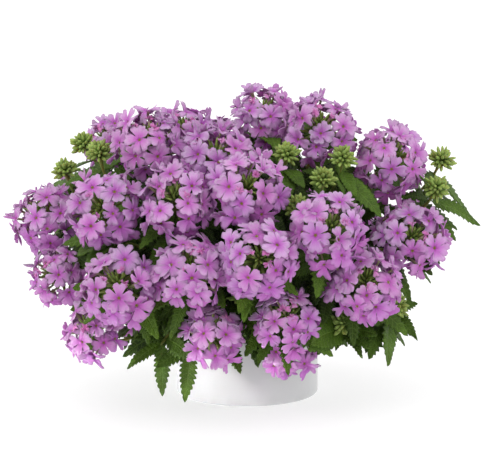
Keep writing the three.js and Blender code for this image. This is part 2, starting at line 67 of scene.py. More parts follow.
# ---------------------------------------------------------------- the solids' own dimensions
SOIL_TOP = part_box("soil")[1].z / MM
POT_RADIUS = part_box("cover_pot")[1].x / MM
LINER_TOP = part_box("growing_pot")[1].z / MM
HOLE_DEPTH = 10
GAP = 0.3
STEM = {
    "radius": 1.7,
    "straight": 4,  # how far a trunk rises straight out of the soil
    "fork": 0.42,  # how far towards what it carries a trunk forks, as a share
    "lift": 14,  # and how much higher than that
    "clear_of_rim": 84,  # lowest height of a fork
    "rise": 0.55,  # how strongly a trunk keeps upwards at its foot
    "bend": 0.3,  # and how strongly it keeps its last way before the fork
    "shoot_bend": 0.35,  # the same at both ends of a shoot
    "shoot_step": 0.12,  # share of the trunk from the foot of one shoot down to the next
    "first_sets_out": 20,  # how much the trunk's way counts at the foot of its first shoot
    "others_set_out": 0.6,  # and of the others
    "clear_of_trunk": 5,  # how far from the trunk's middle the other shoots' solids start
}
ROOM = {"head": 29, "bud": 16, "twig": 0}  # how near others may come, as a radius
STALK = {"head": 14, "bud": 9, "twig": 0}  # how far before its middle the shoot's curve ends
ROUNDS_OF_SETTLING = 80
PLACE_STEP = 6  # longest step between the places on a stem where leaves may stand
LEAF = {
    "length": 46,
    "longest": 56,
    "width": 18,
    "droop": 0.25,
    "fold": 0.12,
    "arch": 0.08,  # share of its length that a leaf loses because it arches
    "turn_out": 1.5,  # how far the face turns outwards, against 1 upwards
    "heart": 90,  # outwards is away from a point this far behind the pot's axis
}
# What a leaf keeps clear of: its room from stems, leaves and heads, its lowest height, and whether
# it has to end inside the plant. The leaves of the solids first, then those that fill in.
SOLID_ROOMS = {"stem": 6.5, "leaf": 5.5, "head": 3.0, "lowest": 46, "inside": False}
INNER_ROOMS = {"stem": 1.8, "leaf": 1.9, "head": -2.0, "lowest": 42.0, "inside": True}
POT_ROOM = (4, 6)  # of a leaf, beside the pot and over it
BEHIND_HEAD = 16  # a leaf may stand this far behind the middle of a head
LEANS = (65, 85, 45)  # degrees from the shoot to a leaf, in the order tried
SWINGS = (0, 35, -35, 70, -70)  # degrees that a leaf swings round its shoot, in the order tried
STEEPEST = 0.85  # how steeply a leaf may set out, as the height it gains over its length
SHOOT_TURN, BRANCH_TURN = 60, 25  # degrees that leaf pairs turn from one shoot or branch to the next
FILLING_STEPS = 16
LAST_PLACE = -5  # where the solids' leaves stand, counted from a shoot's end
SAMPLES_ALONG = np.arange(2, 10) / 9  # where a leaf is measured, as shares of its length
SAMPLES_ACROSS = [-0.9, -0.45, 0.0, 0.45, 0.9]  # and of its half width
TRUNK_CORNERS = [0.0, 0.4, 0.7, 1.0]  # shares of the curves where the solids' stems have corners
SHOOT_CORNERS = [0.4, 0.75, 1.0]

# Stages of a head: its size, and its florets ring by ring, as how many there are and how far the
# ring leans out from the head's axis, in degrees.
FULL = {"size": 1.0, "rings": ((5, 38), (8, 66), (9, 94))}
YOUNG = {"size": 0.85, "rings": ((5, 40), (8, 70), (5, 98))}

# ---------------------------------------------------------------- the plant, branch by branch
# hole: the trunk's place in the soil, as (distance from the middle, degrees round from -Y to +X).
# heads and buds: the middle of each as (x, y, z, degrees that it faces round from -Y to +X,
# degrees above the horizon); young heads are marked so. twigs: the ends of leafy side shoots.
# leaves: the largest leaves in view, as (x, y, z of the root, x, y, z of the tip).
BRANCHES = [
    {
        "name": "low_left",
        "hole": (40, -52),
        "heads": [(-122, -92, 70, -40, 30, YOUNG), (-98, -44, 90, -10, 40)],
        "twigs": [(-70, -84, 58, -30, -30), (-46, -82, 52, -10, -30)],
        "leaves": [
            (-46, -82, 52, -51, -88, 11),
            (-70, -84, 58, -69, -92, 17),
            (-70, -84, 58, -98, -84, 38),
            (-46, -82, 52, -74, -96, 42),
        ],
    },
    {
        "name": "left",
        "hole": (36, -84),
        "heads": [(-166, -10, 152, -50, 35), (-154, -40, 106, -40, 15, YOUNG)],
        "buds": [(-153, 14, 186, -40, 65)],
    },
    {
        "name": "mid_left",
        "hole": (28, -45),
        "heads": [(-96, -126, 113, -5, 35), (-112, -91, 170, -12, 18)],
        "twigs": [(-106, -62, 138, -70, 0)],
        "leaves": [(-106, -62, 138, -155, -82, 139), (-106, -62, 138, -130, -104, 108)],
    },
    {
        "name": "inner_left",
        "hole": (20, -20),
        "heads": [(-56, -104, 177, 0, 35), (-27, -58, 203, -5, 45)],
    },
    {
        "name": "middle",
        "hole": (30, -8),
        "heads": [(-46, -130, 125, 5, 42), (6, -145, 138, 0, 18)],
    },
    {
        "name": "low_front",
        "hole": (42, 4),
        "heads": [
            (-28, -120, 72, 12, 48, YOUNG),
            (31, -124, 87, 8, 32, YOUNG),
            (33, -80, 56, 8, 0, YOUNG),
        ],
        "buds": [(-4, -94, 99, 0, 60)],
    },
    {
        "name": "upper_middle",
        "hole": (16, 8),
        "heads": [(0, -100, 185, 0, 25)],
        "buds": [(37, -92, 172, 5, 72), (59, -78, 189, 10, 68)],
    },
    {
        "name": "mid_right",
        "hole": (31, 34),
        "heads": [(65, -124, 154, 10, 30), (90, -108, 113, 5, 32)],
        "buds": [(79, -86, 77, 0, 45)],
        "leaves": [(78, -80, 72, 40, -128, 60), (86, -82, 74, 92, -92, 50)],
    },
    {
        "name": "right",
        "hole": (33, 66),
        "heads": [(132, -54, 139, 15, 25), (120, -20, 198, 20, 25)],
        "buds": [
            (154, -36, 179, 15, 40),
            (120, -66, 86, 20, 40),
            (163, 6, 196, 20, 45),
        ],
        "leaves": [
            (154, -15, 169, 192, -28, 146),
            (112, -72, 80, 112, -94, 43),
            (116, -72, 78, 136, -82, 64),
        ],
    },
    {
        "name": "top_right",
        "hole": (12, 80),
        "heads": [(14, 10, 233, 5, 45, YOUNG), (59, -18, 223, 10, 45)],
        "buds": [(32, -48, 207, 10, 60), (77, -52, 205, 15, 60)],
        "leaves": [(60, -20, 180, 92, -60, 170), (32, -48, 196, 46, -72, 184)],
    },
    {
        "name": "top_left",
        "hole": (11, -110),
        "heads": [(-85, -40, 214, 0, 48), (-53, 8, 217, 0, 55, YOUNG)],
        "buds": [(-116, -28, 207, -10, 60)],
    },
    {
        "name": "back_left",
        "hole": (30, -118),
        "heads": [(-119, 68, 202, -40, 40, YOUNG), (-151, 58, 149, -110, 30, YOUNG)],
        "buds": [(-141, 30, 204, -40, 50)],
    },
    {
        "name": "back_lower_left",
        "hole": (34, -148),
        "heads": [(-92, 98, 150, -140, 40, YOUNG), (-104, 92, 94, -130, 20, YOUNG)],
    },
    {
        "name": "back",
        "hole": (26, -172),
        "heads": [
            (-38, 118, 142, -165, 30),
            (-28, 84, 202, -170, 60, YOUNG),
            (0, 122, 82, 180, 15, YOUNG),
        ],
    },
    {
        "name": "back_right",
        "hole": (24, 158),
        "heads": [(28, 122, 150, 170, 35), (46, 74, 214, 150, 60, YOUNG)],
    },
    {
        "name": "back_far_right",
        "hole": (34, 120),
        "heads": [
            (92, 100, 118, 135, 25),
            (122, 64, 186, 120, 45, YOUNG),
            (142, 36, 130, 100, 20),
        ],
    },
]

# Smaller leaves in view that the solids leave out: root and tip as above, and the breadth against
# a leaf of that length.
SMALL_LEAVES = {
    "top_right": [
        (74, -56, 196, 87, -72, 176, 1.0),
        (82, -50, 181, 107, -72, 160, 1.0),
        (9, -10, 216, 27, -42, 206, 1.0),
        (36, -46, 192, 34, -76, 178, 1.2),
        (60, -30, 200, 60, -66, 190, 1.0),
    ],
    "right": [
        (115, -75, 72, 98, -90, 78, 1.1),
        (116, -72, 79, 119, -90, 68, 0.9),
        (122, -76, 70, 137, -84, 62, 0.6),
        (130, -30, 186, 140, -52, 190, 1.1),
        (120, -40, 120, 150, -66, 112, 1.0),
    ],
    "mid_right": [
        (83, -80, 75, 103, -98, 70, 1.1),
        (79, -80, 68, 97, -94, 58, 1.1),
        (72, -76, 72, 70, -92, 56, 0.9),
        (78, -84, 74, 33, -142, 66, 1.2),
    ],
    "low_front": [(25, -90, 116, 45, -116, 103, 1.1), (20, -80, 118, 52, -104, 124, 1.1)],
    "upper_middle": [(37, -84, 160, 58, -104, 168, 1.0), (20, -70, 160, 30, -104, 150, 1.0)],
    "mid_left": [
        (-106, -62, 140, -152, -122, 131, 1.3),
        (-106, -62, 136, -134, -116, 122, 1.2),
        (-118, -84, 112, -144, -98, 108, 1.1),
    ],
    "top_left": [(-60, -30, 200, -62, -62, 204, 1.1), (-84, -30, 190, -118, -50, 182, 1.0)],
    "left": [(-140, -20, 170, -136, -52, 150, 1.0)],
}


# ---------------------------------------------------------------- what a user would change
def a_length(name, description, value):
    """A length in metres as a property."""
    return FloatProperty(name=name, description=description, default=value, unit="LENGTH")


def an_angle(name, description, value):
    """An angle in radians as a property."""
    return FloatProperty(name=name, description=description, default=value, unit="ROTATION")


def a_number(name, description, value):
    """A number without a unit as a property."""
    return FloatProperty(name=name, description=description, default=value)


def a_colour(name, description, value):
    """A colour as a property."""
    return FloatVectorProperty(
        name=name, description=description, default=value, subtype="COLOR", min=0.0, max=1.0
    )


class VerbenaPots(bpy.types.PropertyGroup):
    """Sizes of the two pots and the soil."""

    cover_height: a_length("Cover pot height", "Height of the white pot", 0.054)
    cover_wall: a_length("Cover pot wall", "Thickness of the white pot", 0.003)
    cover_round: a_length("Rim rounding", "Radius of the white pot's edges", 0.0013)
    liner_top: a_length("Growing pot top radius", "Radius under its lip", 0.054)
    liner_base: a_length("Growing pot base radius", "Radius of its floor", 0.048)
    liner_wall: a_length("Growing pot wall", "Thickness of the black pot", 0.0014)
    lip: a_length("Lip", "How far the black pot's lip stands out", 0.002)
    lip_height: a_length("Lip height", "Height of the black pot's lip", 0.006)
    crumbs: IntProperty(name="Crumbs", description="Crumbs on the soil's face", default=700, min=0)


class VerbenaFlowers(bpy.types.PropertyGroup):
    """Sizes of the florets, calyces and buds."""

    petal: a_length("Petal length", "From a floret's throat to its rim", 0.0121)
    dome: a_length("Dome radius", "From a head's middle to its florets", 0.0272)
    tube: a_length("Tube length", "From a floret's throat into its calyx", 0.012)
    tilt: an_angle("Tilt", "How far a floret may turn from the dome", 0.35)
    forward: a_number("Forward", "How far the florets turn towards the head's own way", 0.3)
    calyx: a_length("Calyx length", "Length of a green calyx", 0.0105)
    calyx_radius: a_length("Calyx radius", "Half a calyx's thickness", 0.0013)
    bud: a_length("Bud length", "Length of a bud in a closed head", 0.0098)
    bud_radius: a_length("Bud radius", "Half a closed bud's thickness", 0.0017)


class VerbenaLeaves(bpy.types.PropertyGroup):
    """Sizes of the leaves."""

    teeth: IntProperty(name="Teeth", description="Teeth along each edge", default=9, min=3)
    thickness: a_length("Thickness", "Thickness of a leaf", 0.0006)
    quilting: a_length("Quilting", "How far a leaf bulges between its veins", 0.0011)
    bite: a_number("Tooth depth", "Share of the half width that a tooth cuts", 0.3)


class VerbenaColours(bpy.types.PropertyGroup):
    """Base colours of the materials."""

    petal_light: a_colour("Petal", "Outer part of a petal", (0.49, 0.315, 0.525))
    petal_deep: a_colour("Petal base", "Inner part of a petal", (0.42, 0.11, 0.45))
    petal_streak: a_colour("Petal streak", "Streak along a petal's middle", (0.28, 0.04, 0.26))
    # pale rim: partly the petal's own pale edge, partly painted light that lifts the shade on its rounded
    # edge
    petal_rim_and_painted_light: a_colour("Petal rim", "Pale rim of a petal", (0.56, 0.43, 0.57))
    # painted shade: the deeper colour of florets on a head's underside, away from the light
    petal_shade: a_colour("Shaded petal", "Deeper tint away from the sun", (0.42, 0.105, 0.46))
    # underside: the petal's own back colour, partly painted shade, deeper and more saturated than the face
    petal_back_and_shade: a_colour("Petal back", "Underside of a petal", (0.46, 0.17, 0.48))
    opening: a_colour("Opening bud", "Rolled petals of an opening bud", (0.62, 0.16, 0.44))
    throat: a_colour("Throat", "Eye of a floret", (0.20, 0.15, 0.03))
    tube: a_colour("Tube", "Tube of a floret", (0.42, 0.36, 0.22))
    calyx: a_colour("Calyx", "Sunlit side of a calyx", (0.29, 0.40, 0.085))
    # Calyx base: painted shade that darkens a calyx towards its foot among the florets; its ribs are darkened
    # towards the same colour
    calyx_deep: a_colour("Calyx base", "Foot of a calyx", (0.08, 0.14, 0.02))
    stem: a_colour("Stem", "Young stem", (0.16, 0.20, 0.04))
    stem_old: a_colour("Old stem", "Foot of a stem", (0.08, 0.08, 0.03))
    leaf: a_colour("Leaf", "Bright leaf", (0.105, 0.20, 0.018))
    # Deep leaf: the dark end of a leaf's tone, and the painted shade of leaves deep in the plant
    leaf_deep: a_colour("Deep leaf", "Dark leaf", (0.018, 0.038, 0.005))
    leaf_vein: a_colour("Leaf vein", "Veins of a leaf", (0.13, 0.22, 0.035))
    leaf_back: a_colour("Leaf back", "Underside of a leaf", (0.08, 0.14, 0.025))
    pot: a_colour("Cover pot", "Glossy white plastic", (0.62, 0.62, 0.63))
    liner: a_colour("Growing pot", "Black plastic", (0.012, 0.012, 0.014))
    soil: a_colour("Soil", "Damp potting soil", (0.035, 0.022, 0.014))
    floor: a_colour("Floor", "Plain pale floor", (0.4, 0.4, 0.4))


class VerbenaStage(bpy.types.PropertyGroup):
    """The camera and the light."""

    distance: a_length("Distance", "Camera to plant", 1.7)
    elevation: an_angle("Elevation", "Camera above the horizon", math.radians(9))
    aim_height: a_length("Aim height", "Height that the camera looks at", 0.1403)
    aim_side: a_length("Aim side", "How far right of the pot's axis it looks", -0.0021)
    view_width: a_length("View width", "Width of the picture at the pot", 0.414)
    floor_glow: a_number("Floor glow", "Even light from the floor", 0.65)
    sky: a_number("Sky", "Strength of the even light", 1.2)
    key: a_number("Key light", "Power of the key light in watts", 5.3)
    fill: a_number("Fill light", "Power of the fill light in watts", 1.5)
    pot_light: a_number("Pot light", "Power of the low strip light in watts", 0.085)


# ---------------------------------------------------------------- directions and curves
def unit(vectors):
    """Vectors divided by their own length."""
    return vectors / np.linalg.norm(vectors, axis=-1, keepdims=True)


def facing(turn, above):
    """The way turn degrees round from -Y to +X and above degrees over the horizon."""
    turn, above = np.radians(turn), np.radians(above)
    return np.array([np.sin(turn) * np.cos(above), -np.cos(turn) * np.cos(above), np.sin(above)])


def frames_about(axes, spins):
    """Frames with rows a, b and w, where w is the axis.

    side = UP x axis and front = axis x side. Turned by the spin in degrees, a = side cos + front sin
    and b = front cos - side sin.
    """
    axes = np.asarray(axes, float)
    side = np.cross(UP, axes)
    length = np.linalg.norm(side, axis=-1, keepdims=True)
    side = np.where(length < 1e-6, [1.0, 0.0, 0.0], side / np.maximum(length, 1e-9))
    front = np.cross(axes, side)
    spins = np.radians(np.asarray(spins, float))[..., None]
    a = side * np.cos(spins) + front * np.sin(spins)
    b = front * np.cos(spins) - side * np.sin(spins)
    return np.stack([a, b, np.broadcast_to(axes, a.shape)], axis=-2)


def polar(angle, radius, height):
    """Local points at an angle in degrees round w, a distance from it and a height along it."""
    angle = np.radians(angle)
    return np.stack(np.broadcast_arrays(np.cos(angle) * radius, np.sin(angle) * radius, height), axis=-1)


def bezier(controls, t):
    """Cubic curve: the controls weighed by (1-t)^3, 3t(1-t)^2, 3t^2(1-t) and t^3."""
    t = np.asarray(t, float)[..., None]
    a, b, c, d = controls
    return (1 - t) ** 3 * a + 3 * t * (1 - t) ** 2 * b + 3 * t * t * (1 - t) * c + t**3 * d


def bezier_way(controls, t):
    """Unit way along the same curve: (1-t)^2 (b-a) + 2t(1-t) (c-b) + t^2 (d-c), made unit long."""
    t = np.asarray(t, float)[..., None]
    a, b, c, d = controls
    return unit((1 - t) ** 2 * (b - a) + 2 * t * (1 - t) * (c - b) + t * t * (d - c))


def curve_length(controls):
    """Length of a cubic curve, as 200 short chords."""
    steps = np.diff(bezier(controls, np.linspace(0, 1, 201)), axis=0)
    return np.linalg.norm(steps, axis=1).sum()


# ---------------------------------------------------------------- the plant's layout, in millimetres
def read_carried(row, b):
    """What branch number b carries: its heads, buds and twigs, each with its middle and its axis."""
    carried = []
    for kind, room in ROOM.items():
        for n, (x, y, z, turn, above, *given) in enumerate(row.get(kind + "s", [])):
            stage = given[0] if given else FULL
            carried.append(
                {
                    "kind": kind,
                    "number": n + 1,
                    "middle": np.array([x, y, z], float),
                    "axis": facing(turn, above),
                    "spin": 47 * n + 31 * b,
                    "rings": stage["rings"],
                    "size": stage["size"],
                    "stalk": STALK[kind],
                    "room": room * stage["size"],
                }
            )
    return carried


def settle(heads):
    """Neighbouring heads push each other apart by halves, round after round, until all have room."""
    for _ in range(ROUNDS_OF_SETTLING):
        for i, one in enumerate(heads):
            for other in heads[i + 1 :]:
                away = other["middle"] - one["middle"]
                distance = math.sqrt(away @ away)
                short = one["room"] + other["room"] - distance
                if short > 0:
                    push = away * (short / 2 / distance)
                    other["middle"] += push
                    one["middle"] -= push


def hole_place(hole):
    """The middle of a trunk's hole, at height 0."""
    distance, turn = hole
    return distance * facing(turn, 0)


def trunk_of(hole, ends):
    """A trunk rises straight out of its hole and bends towards the middle of what it carries."""
    foot = hole_place(hole) + UP * (SOIL_TOP + STEM["straight"])
    mean = np.mean(ends, axis=0)
    fork = foot + (mean - foot) * STEM["fork"]
    fork[2] = max(fork[2] + STEM["lift"], STEM["clear_of_rim"])
    way = unit(mean - fork)
    reach = np.linalg.norm(fork - foot)
    return np.array([foot, foot + UP * STEM["rise"] * reach, fork - way * STEM["bend"] * reach, fork])


def shoot_of(trunk, n, end, axis):
    """Shoot n leaves the trunk n steps below its fork and runs in behind its end along the axis."""
    at = 1 - STEM["shoot_step"] * n
    start = bezier(trunk, at)
    reach = np.linalg.norm(end - start)
    along_trunk = STEM["others_set_out"] if n else STEM["first_sets_out"]
    way = unit(unit(end - start) + bezier_way(trunk, at) * along_trunk)
    bend = STEM["shoot_bend"]
    return np.array([start, start + way * bend * reach, end - axis * bend * reach, end])


def shoot_line(hole, trunk, shoots, n):
    """The corner points of shoot n's solid. The first shoot's line takes in the trunk."""
    later = bezier(shoots[n], SHOOT_CORNERS)
    if n > 0:
        clear = STEM["clear_of_trunk"] / curve_length(shoots[n])
        return np.vstack([bezier(shoots[n], [clear]), later])
    foot = hole_place(hole) + UP * (SOIL_TOP - HOLE_DEPTH + GAP + 1)
    return np.vstack([foot, bezier(trunk, TRUNK_CORNERS), later])


def along(line):
    """Places in even steps along a line of corner points, with the way it runs at each."""
    points, ways = [], []
    for start, end in zip(line[:-1], line[1:]):
        run = np.linalg.norm(end - start)
        count = math.ceil(run / PLACE_STEP)
        shares = (np.arange(count)[:, None] + 0.5) / count
        points.append(start + (end - start) * shares)
        ways.append(np.repeat([(end - start) / run], count, axis=0))
    return np.vstack(points), np.vstack(ways)


def half_width(s):
    """Half width of a leaf at share s of its length: 0.5 sin(pi s^0.8)^0.75, widest before its middle."""
    return 0.5 * np.maximum(np.sin(np.pi * np.asarray(s, float) ** 0.8), 0) ** 0.75


def leaf_points(leaf, s, side, lift):
    """Points of leaves: s runs along, side across in leaf widths, and lift is over the middle sheet.

    point = root + way L s (1 - arch s) + across side W + over (lift + fold |side| W) - UP droop L s^2,
    with across = (UP + turn_out outwards) x way and over = way x across, both turned about the way
    by the leaf's roll. Outwards is level, away from the heart of the plant.
    """
    way = leaf["way"]
    outwards = unit(np.array([leaf["root"][0], leaf["root"][1] - LEAF["heart"], 0.0]))
    across = unit(np.cross(UP + LEAF["turn_out"] * outwards, way))
    over = np.cross(way, across)
    roll = leaf.get("roll", 0.0)
    across, over = (
        across * np.cos(roll) + over * np.sin(roll),
        over * np.cos(roll) - across * np.sin(roll),
    )
    run = leaf["length"]
    width = LEAF["width"] / LEAF["length"] * run * leaf.get("breadth", 1.0)
    s, side, lift = (np.asarray(value, float)[..., None] for value in (s, side, lift))
    points = leaf["root"] + way * run * s * (1 - LEAF["arch"] * s) + across * side * width
    points = points + over * (lift + LEAF["fold"] * np.abs(side) * width)
    return points - UP * LEAF["droop"] * run * s * s


def leaf_to(root, tip):
    """A leaf from its root that sets out so that it droops to that tip."""
    chord = tip - root
    run = np.linalg.norm(chord)
    for _ in range(4):
        start = chord + UP * LEAF["droop"] * run
        run = np.linalg.norm(start) / (1 - LEAF["arch"])
    return {"root": root, "way": unit(start), "length": min(run, LEAF["longest"])}


def root_near(branch, place):
    """The point of a branch's stems that lies nearest to a place."""
    gaps = np.linalg.norm(branch["stem_points"] - np.array(place, float), axis=1)
    return branch["stem_points"][gaps.argmin()]


def leaf_samples(leaf):
    """Points over a leaf's outer part, to measure its distance from its neighbours."""
    s = np.repeat(SAMPLES_ALONG, len(SAMPLES_ACROSS))
    share = np.tile(SAMPLES_ACROSS, len(SAMPLES_ALONG))
    return leaf_points(leaf, s, share * half_width(np.minimum(s, 0.98)), 0.0)


class Crowd:
    """What stands in the plant already: its heads, its stems and the leaves so far."""

    def __init__(self, branches):
        items = [item for branch in branches for item in branch["carried"] if item["kind"] != "twig"]
        self.middles = np.array([item["middle"] for item in items])
        self.axes = np.array([item["axis"] for item in items])
        self.rooms = np.array([item["room"] for item in items])
        self.open_behind = np.array([item["kind"] == "head" for item in items])
        self.stems = np.vstack([branch["stem_points"] for branch in branches])
        self.owners = np.repeat(np.arange(len(branches)), [len(branch["stem_points"]) for branch in branches])
        self.leaves = np.empty((0, len(SAMPLES_ALONG) * len(SAMPLES_ACROSS), 3))

    def add(self, samples):
        """Adds a leaf by its samples."""
        self.leaves = np.concatenate([self.leaves, samples[None]])

    def near_leaves(self, samples, room):
        """Whether a sample lies nearer than room to a leaf. Only leaves close by are measured."""
        middle = samples.mean(axis=0)
        span = np.linalg.norm(samples - middle, axis=1).max()
        apart = np.linalg.norm(self.leaves.mean(axis=1) - middle, axis=1)
        others = self.leaves[apart < 2 * span + room + LEAF["longest"] / 2].reshape(-1, 3)
        gaps = samples[:, None] - others[None]
        return bool((np.einsum("ijk,ijk->ij", gaps, gaps) < room * room).any())

    def is_free(self, samples, owner, rooms):
        """Whether a leaf keeps clear of the pots, the heads, the other stems and the leaves so far."""
        height = samples[:, 2]
        beside, over = POT_ROOM
        in_pot = np.hypot(samples[:, 0], samples[:, 1]) < POT_RADIUS + beside
        if (in_pot & (height < LINER_TOP + over)).any() or (height < rooms["lowest"]).any():
            return False
        away = samples[:, None] - self.middles[None]
        inside = np.linalg.norm(away, axis=2) <= self.rooms + rooms["head"]
        behind = ((away * self.axes).sum(axis=2) < -BEHIND_HEAD) & self.open_behind
        if (inside & ~behind).any():
            return False
        gaps = samples[:, None] - self.stems[self.owners != owner][None]
        if (np.einsum("ijk,ijk->ij", gaps, gaps) < rooms["stem"] ** 2).any():
            return False
        return not self.near_leaves(samples, rooms["leaf"])


def depth_of(place):
    """How deep in the plant a place lies: below 0 outside it, 1 and over at its heart."""
    heart, reach = np.array([0.0, -10.0, 120.0]), np.array([170.0, 130.0, 120.0])
    return 1.15 - float(np.linalg.norm((place - heart) / reach))


def keep_leaf(branch, crowd, leaf):
    """Adds a leaf to its branch, and to what later leaves keep clear of."""
    branch["leaves"].append(leaf)
    crowd.add(leaf_samples(leaf))


def grow_leaf(branches, b, crowd, root, stem_way, turn, run, rooms):
    """Tries a few ways round the shoot for a leaf of length run of branch b, and keeps the first that
    stands clear."""
    for lean in LEANS:
        for swing in SWINGS:
            out = frames_about(stem_way, turn + swing)[0]
            way = stem_way * math.cos(math.radians(lean)) + out * math.sin(math.radians(lean))
            if abs(way[2]) > STEEPEST:
                continue
            leaf = {"root": root, "way": way, "length": run}
            if rooms["inside"] and depth_of(leaf_points(leaf, 0.9, 0.0, 0.0)) < 0:
                continue
            if crowd.is_free(leaf_samples(leaf), b, rooms):
                keep_leaf(branches[b], crowd, leaf)
                return


def fill_in_leaves(branches, crowd):
    """More leaves by the same rule, in crossed pairs down every shoot, closer together."""
    rng = np.random.default_rng(11)
    for step in range(FILLING_STEPS):
        for b, branch in enumerate(branches):
            for n, (points, ways) in enumerate(branch["places"]):
                at = len(points) - 2 - 2 * step
                if at < 1 or points[at][2] < SOIL_TOP:
                    continue
                turn = 90 * step + SHOOT_TURN * n + BRANCH_TURN * b + 45
                for half_turn in (0, 180):
                    run = LEAF["length"] * rng.uniform(0.7, 1.1)
                    grow_leaf(branches, b, crowd, points[at], ways[at], turn + half_turn, run, INNER_ROOMS)


@functools.lru_cache(maxsize=1)
def plant():
    """The whole plant's layout: every branch with its stems, what it carries and its leaves."""
    branches = [
        {"name": row["name"], "hole": row["hole"], "wanted": row.get("leaves", []),
         "carried": read_carried(row, b), "leaves": []}
        for b, row in enumerate(BRANCHES)
    ]
    settle([item for branch in branches for item in branch["carried"] if item["kind"] != "twig"])
    for branch in branches:
        ends = [item["middle"] - item["axis"] * item["stalk"] for item in branch["carried"]]
        branch["trunk"] = trunk_of(branch["hole"], ends)
        trunk = branch["trunk"]
        shoots = [shoot_of(trunk, n, end, branch["carried"][n]["axis"]) for n, end in enumerate(ends)]
        branch["shoots"] = shoots
        branch["places"] = [
            along(shoot_line(branch["hole"], trunk, shoots, n)) for n in range(len(shoots))
        ]
        branch["stem_points"] = np.vstack([points for points, _ in branch["places"]])
    crowd = Crowd(branches)
    for branch in branches:
        for wanted in branch["wanted"]:
            keep_leaf(branch, crowd, leaf_to(root_near(branch, wanted[:3]), np.array(wanted[3:], float)))
    for b, branch in enumerate(branches):
        for n, (points, ways) in enumerate(branch["places"][:2]):
            turn = SHOOT_TURN * n + BRANCH_TURN * b
            root, way = points[LAST_PLACE], ways[LAST_PLACE]
            for half_turn in (0, 180)[: 2 - n]:
                grow_leaf(branches, b, crowd, root, way, turn + half_turn, LEAF["length"], SOLID_ROOMS)
    for branch in branches:
        for wanted in SMALL_LEAVES.get(branch["name"], []):
            leaf = leaf_to(root_near(branch, wanted[:3]), np.array(wanted[3:6], float))
            keep_leaf(branch, crowd, leaf | {"breadth": wanted[6]})
        branch["outer_leaves"] = len(branch["leaves"])
    fill_in_leaves(branches, crowd)
    return branches


# ---------------------------------------------------------------- closed surfaces on grids
def closed_shells(rings, first, last, across, along_rings, **marks):
    """Closed surfaces through rings of points, one for each copy, as whole arrays.

    rings[c, i, j] is point j of ring i of copy c. Each ring turns left round the way that the rings
    follow. Each end is closed with one point, first or last. across holds the texture's u at both
    edges of every column, along_rings its v at the first point, at each ring and at the last point.
    marks are numbers for each copy, kept on its points.
    """
    copies, rows, columns = rings.shape[:3]
    points = np.concatenate([rings.reshape(copies, -1, 3), first[:, None], last[:, None]], axis=1)
    size = points.shape[1]
    row = np.repeat(np.arange(rows - 1), columns)
    column = np.tile(np.arange(columns), rows - 1)
    following = (column + 1) % columns
    quads = np.stack(
        [row * columns + column, row * columns + following, (row + 1) * columns + following,
         (row + 1) * columns + column],
        axis=1,
    )
    u = np.asarray(across, float)
    v = np.asarray(along_rings, float)
    quad_u = np.stack([u[column], u[column + 1], u[column + 1], u[column]], axis=1)
    quad_v = np.stack([v[row + 1], v[row + 1], v[row + 2], v[row + 2]], axis=1)
    column = np.arange(columns)
    following = (column + 1) % columns
    top = (rows - 1) * columns
    low = np.stack([np.full(columns, size - 2), following, column], axis=1)
    high = np.stack([np.full(columns, size - 1), top + column, top + following], axis=1)
    middle_u = (u[:-1] + u[1:]) / 2
    low_u = np.stack([middle_u, u[1:], u[:-1]], axis=1)
    high_u = np.stack([middle_u, u[:-1], u[1:]], axis=1)
    low_v = np.tile([v[0], v[1], v[1]], (columns, 1))
    high_v = np.tile([v[-1], v[-2], v[-2]], (columns, 1))
    shift = np.arange(copies)[:, None, None] * size
    triangles = np.concatenate([low, high])
    return {
        "points": points.reshape(-1, 3),
        "quads": (quads[None] + shift).reshape(-1, 4),
        "triangles": (triangles[None] + shift).reshape(-1, 3),
        "quad_uv": np.tile(np.stack([quad_u, quad_v], axis=-1), (copies, 1, 1)),
        "triangle_uv": np.tile(
            np.stack([np.concatenate([low_u, high_u]), np.concatenate([low_v, high_v])], axis=-1),
            (copies, 1, 1),
        ),
        "marks": {name: np.repeat(np.asarray(values, float), size) for name, values in marks.items()},
    }


def mesh_of(name, shells):
    """One smooth mesh from several lots of closed surfaces, with its texture map and its marks."""
    shift = np.cumsum([0] + [len(part["points"]) for part in shells[:-1]])
    points = np.concatenate([part["points"] for part in shells])
    quads = np.concatenate([part["quads"] + s for part, s in zip(shells, shift)])
    triangles = np.concatenate([part["triangles"] + s for part, s in zip(shells, shift)])
    corners = np.concatenate([quads.ravel(), triangles.ravel()])
    uv = np.concatenate(
        [part["quad_uv"].reshape(-1, 2) for part in shells]
        + [part["triangle_uv"].reshape(-1, 2) for part in shells]
    )
    starts = np.concatenate(
        [np.arange(len(quads)) * 4, quads.size + np.arange(len(triangles)) * 3]
    )
    mesh = bpy.data.meshes.new(name)
    mesh.vertices.add(len(points))
    mesh.vertices.foreach_set("co", points.astype(np.float32).ravel())
    mesh.loops.add(len(corners))
    mesh.loops.foreach_set("vertex_index", corners.astype(np.int32))
    mesh.polygons.add(len(starts))
    mesh.polygons.foreach_set("loop_start", starts.astype(np.int32))
    mesh.update(calc_edges=True)
    mesh.shade_smooth()
    mesh.uv_layers.new(name="surface").data.foreach_set("uv", uv.astype(np.float32).ravel())
    for mark in shells[0]["marks"]:
        values = np.concatenate([part["marks"][mark] for part in shells]).astype(np.float32)
        mesh.attributes.new(mark, "FLOAT", "POINT").data.foreach_set("value", values)
    if mesh.validate():
        raise RuntimeError(f"{name}: the mesh had faults")
    return mesh


def add_piece(name, shells, material, slot, *nodes):
    """Puts a mesh in the scene as a piece of the object that stands for the CAD nodes given."""
    piece = bpy.data.objects.new(name, mesh_of(name, shells))
    piece.data.materials.append(material)
    bpy.context.scene.collection.objects.link(piece)
    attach(piece, "root")
    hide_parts(*nodes)


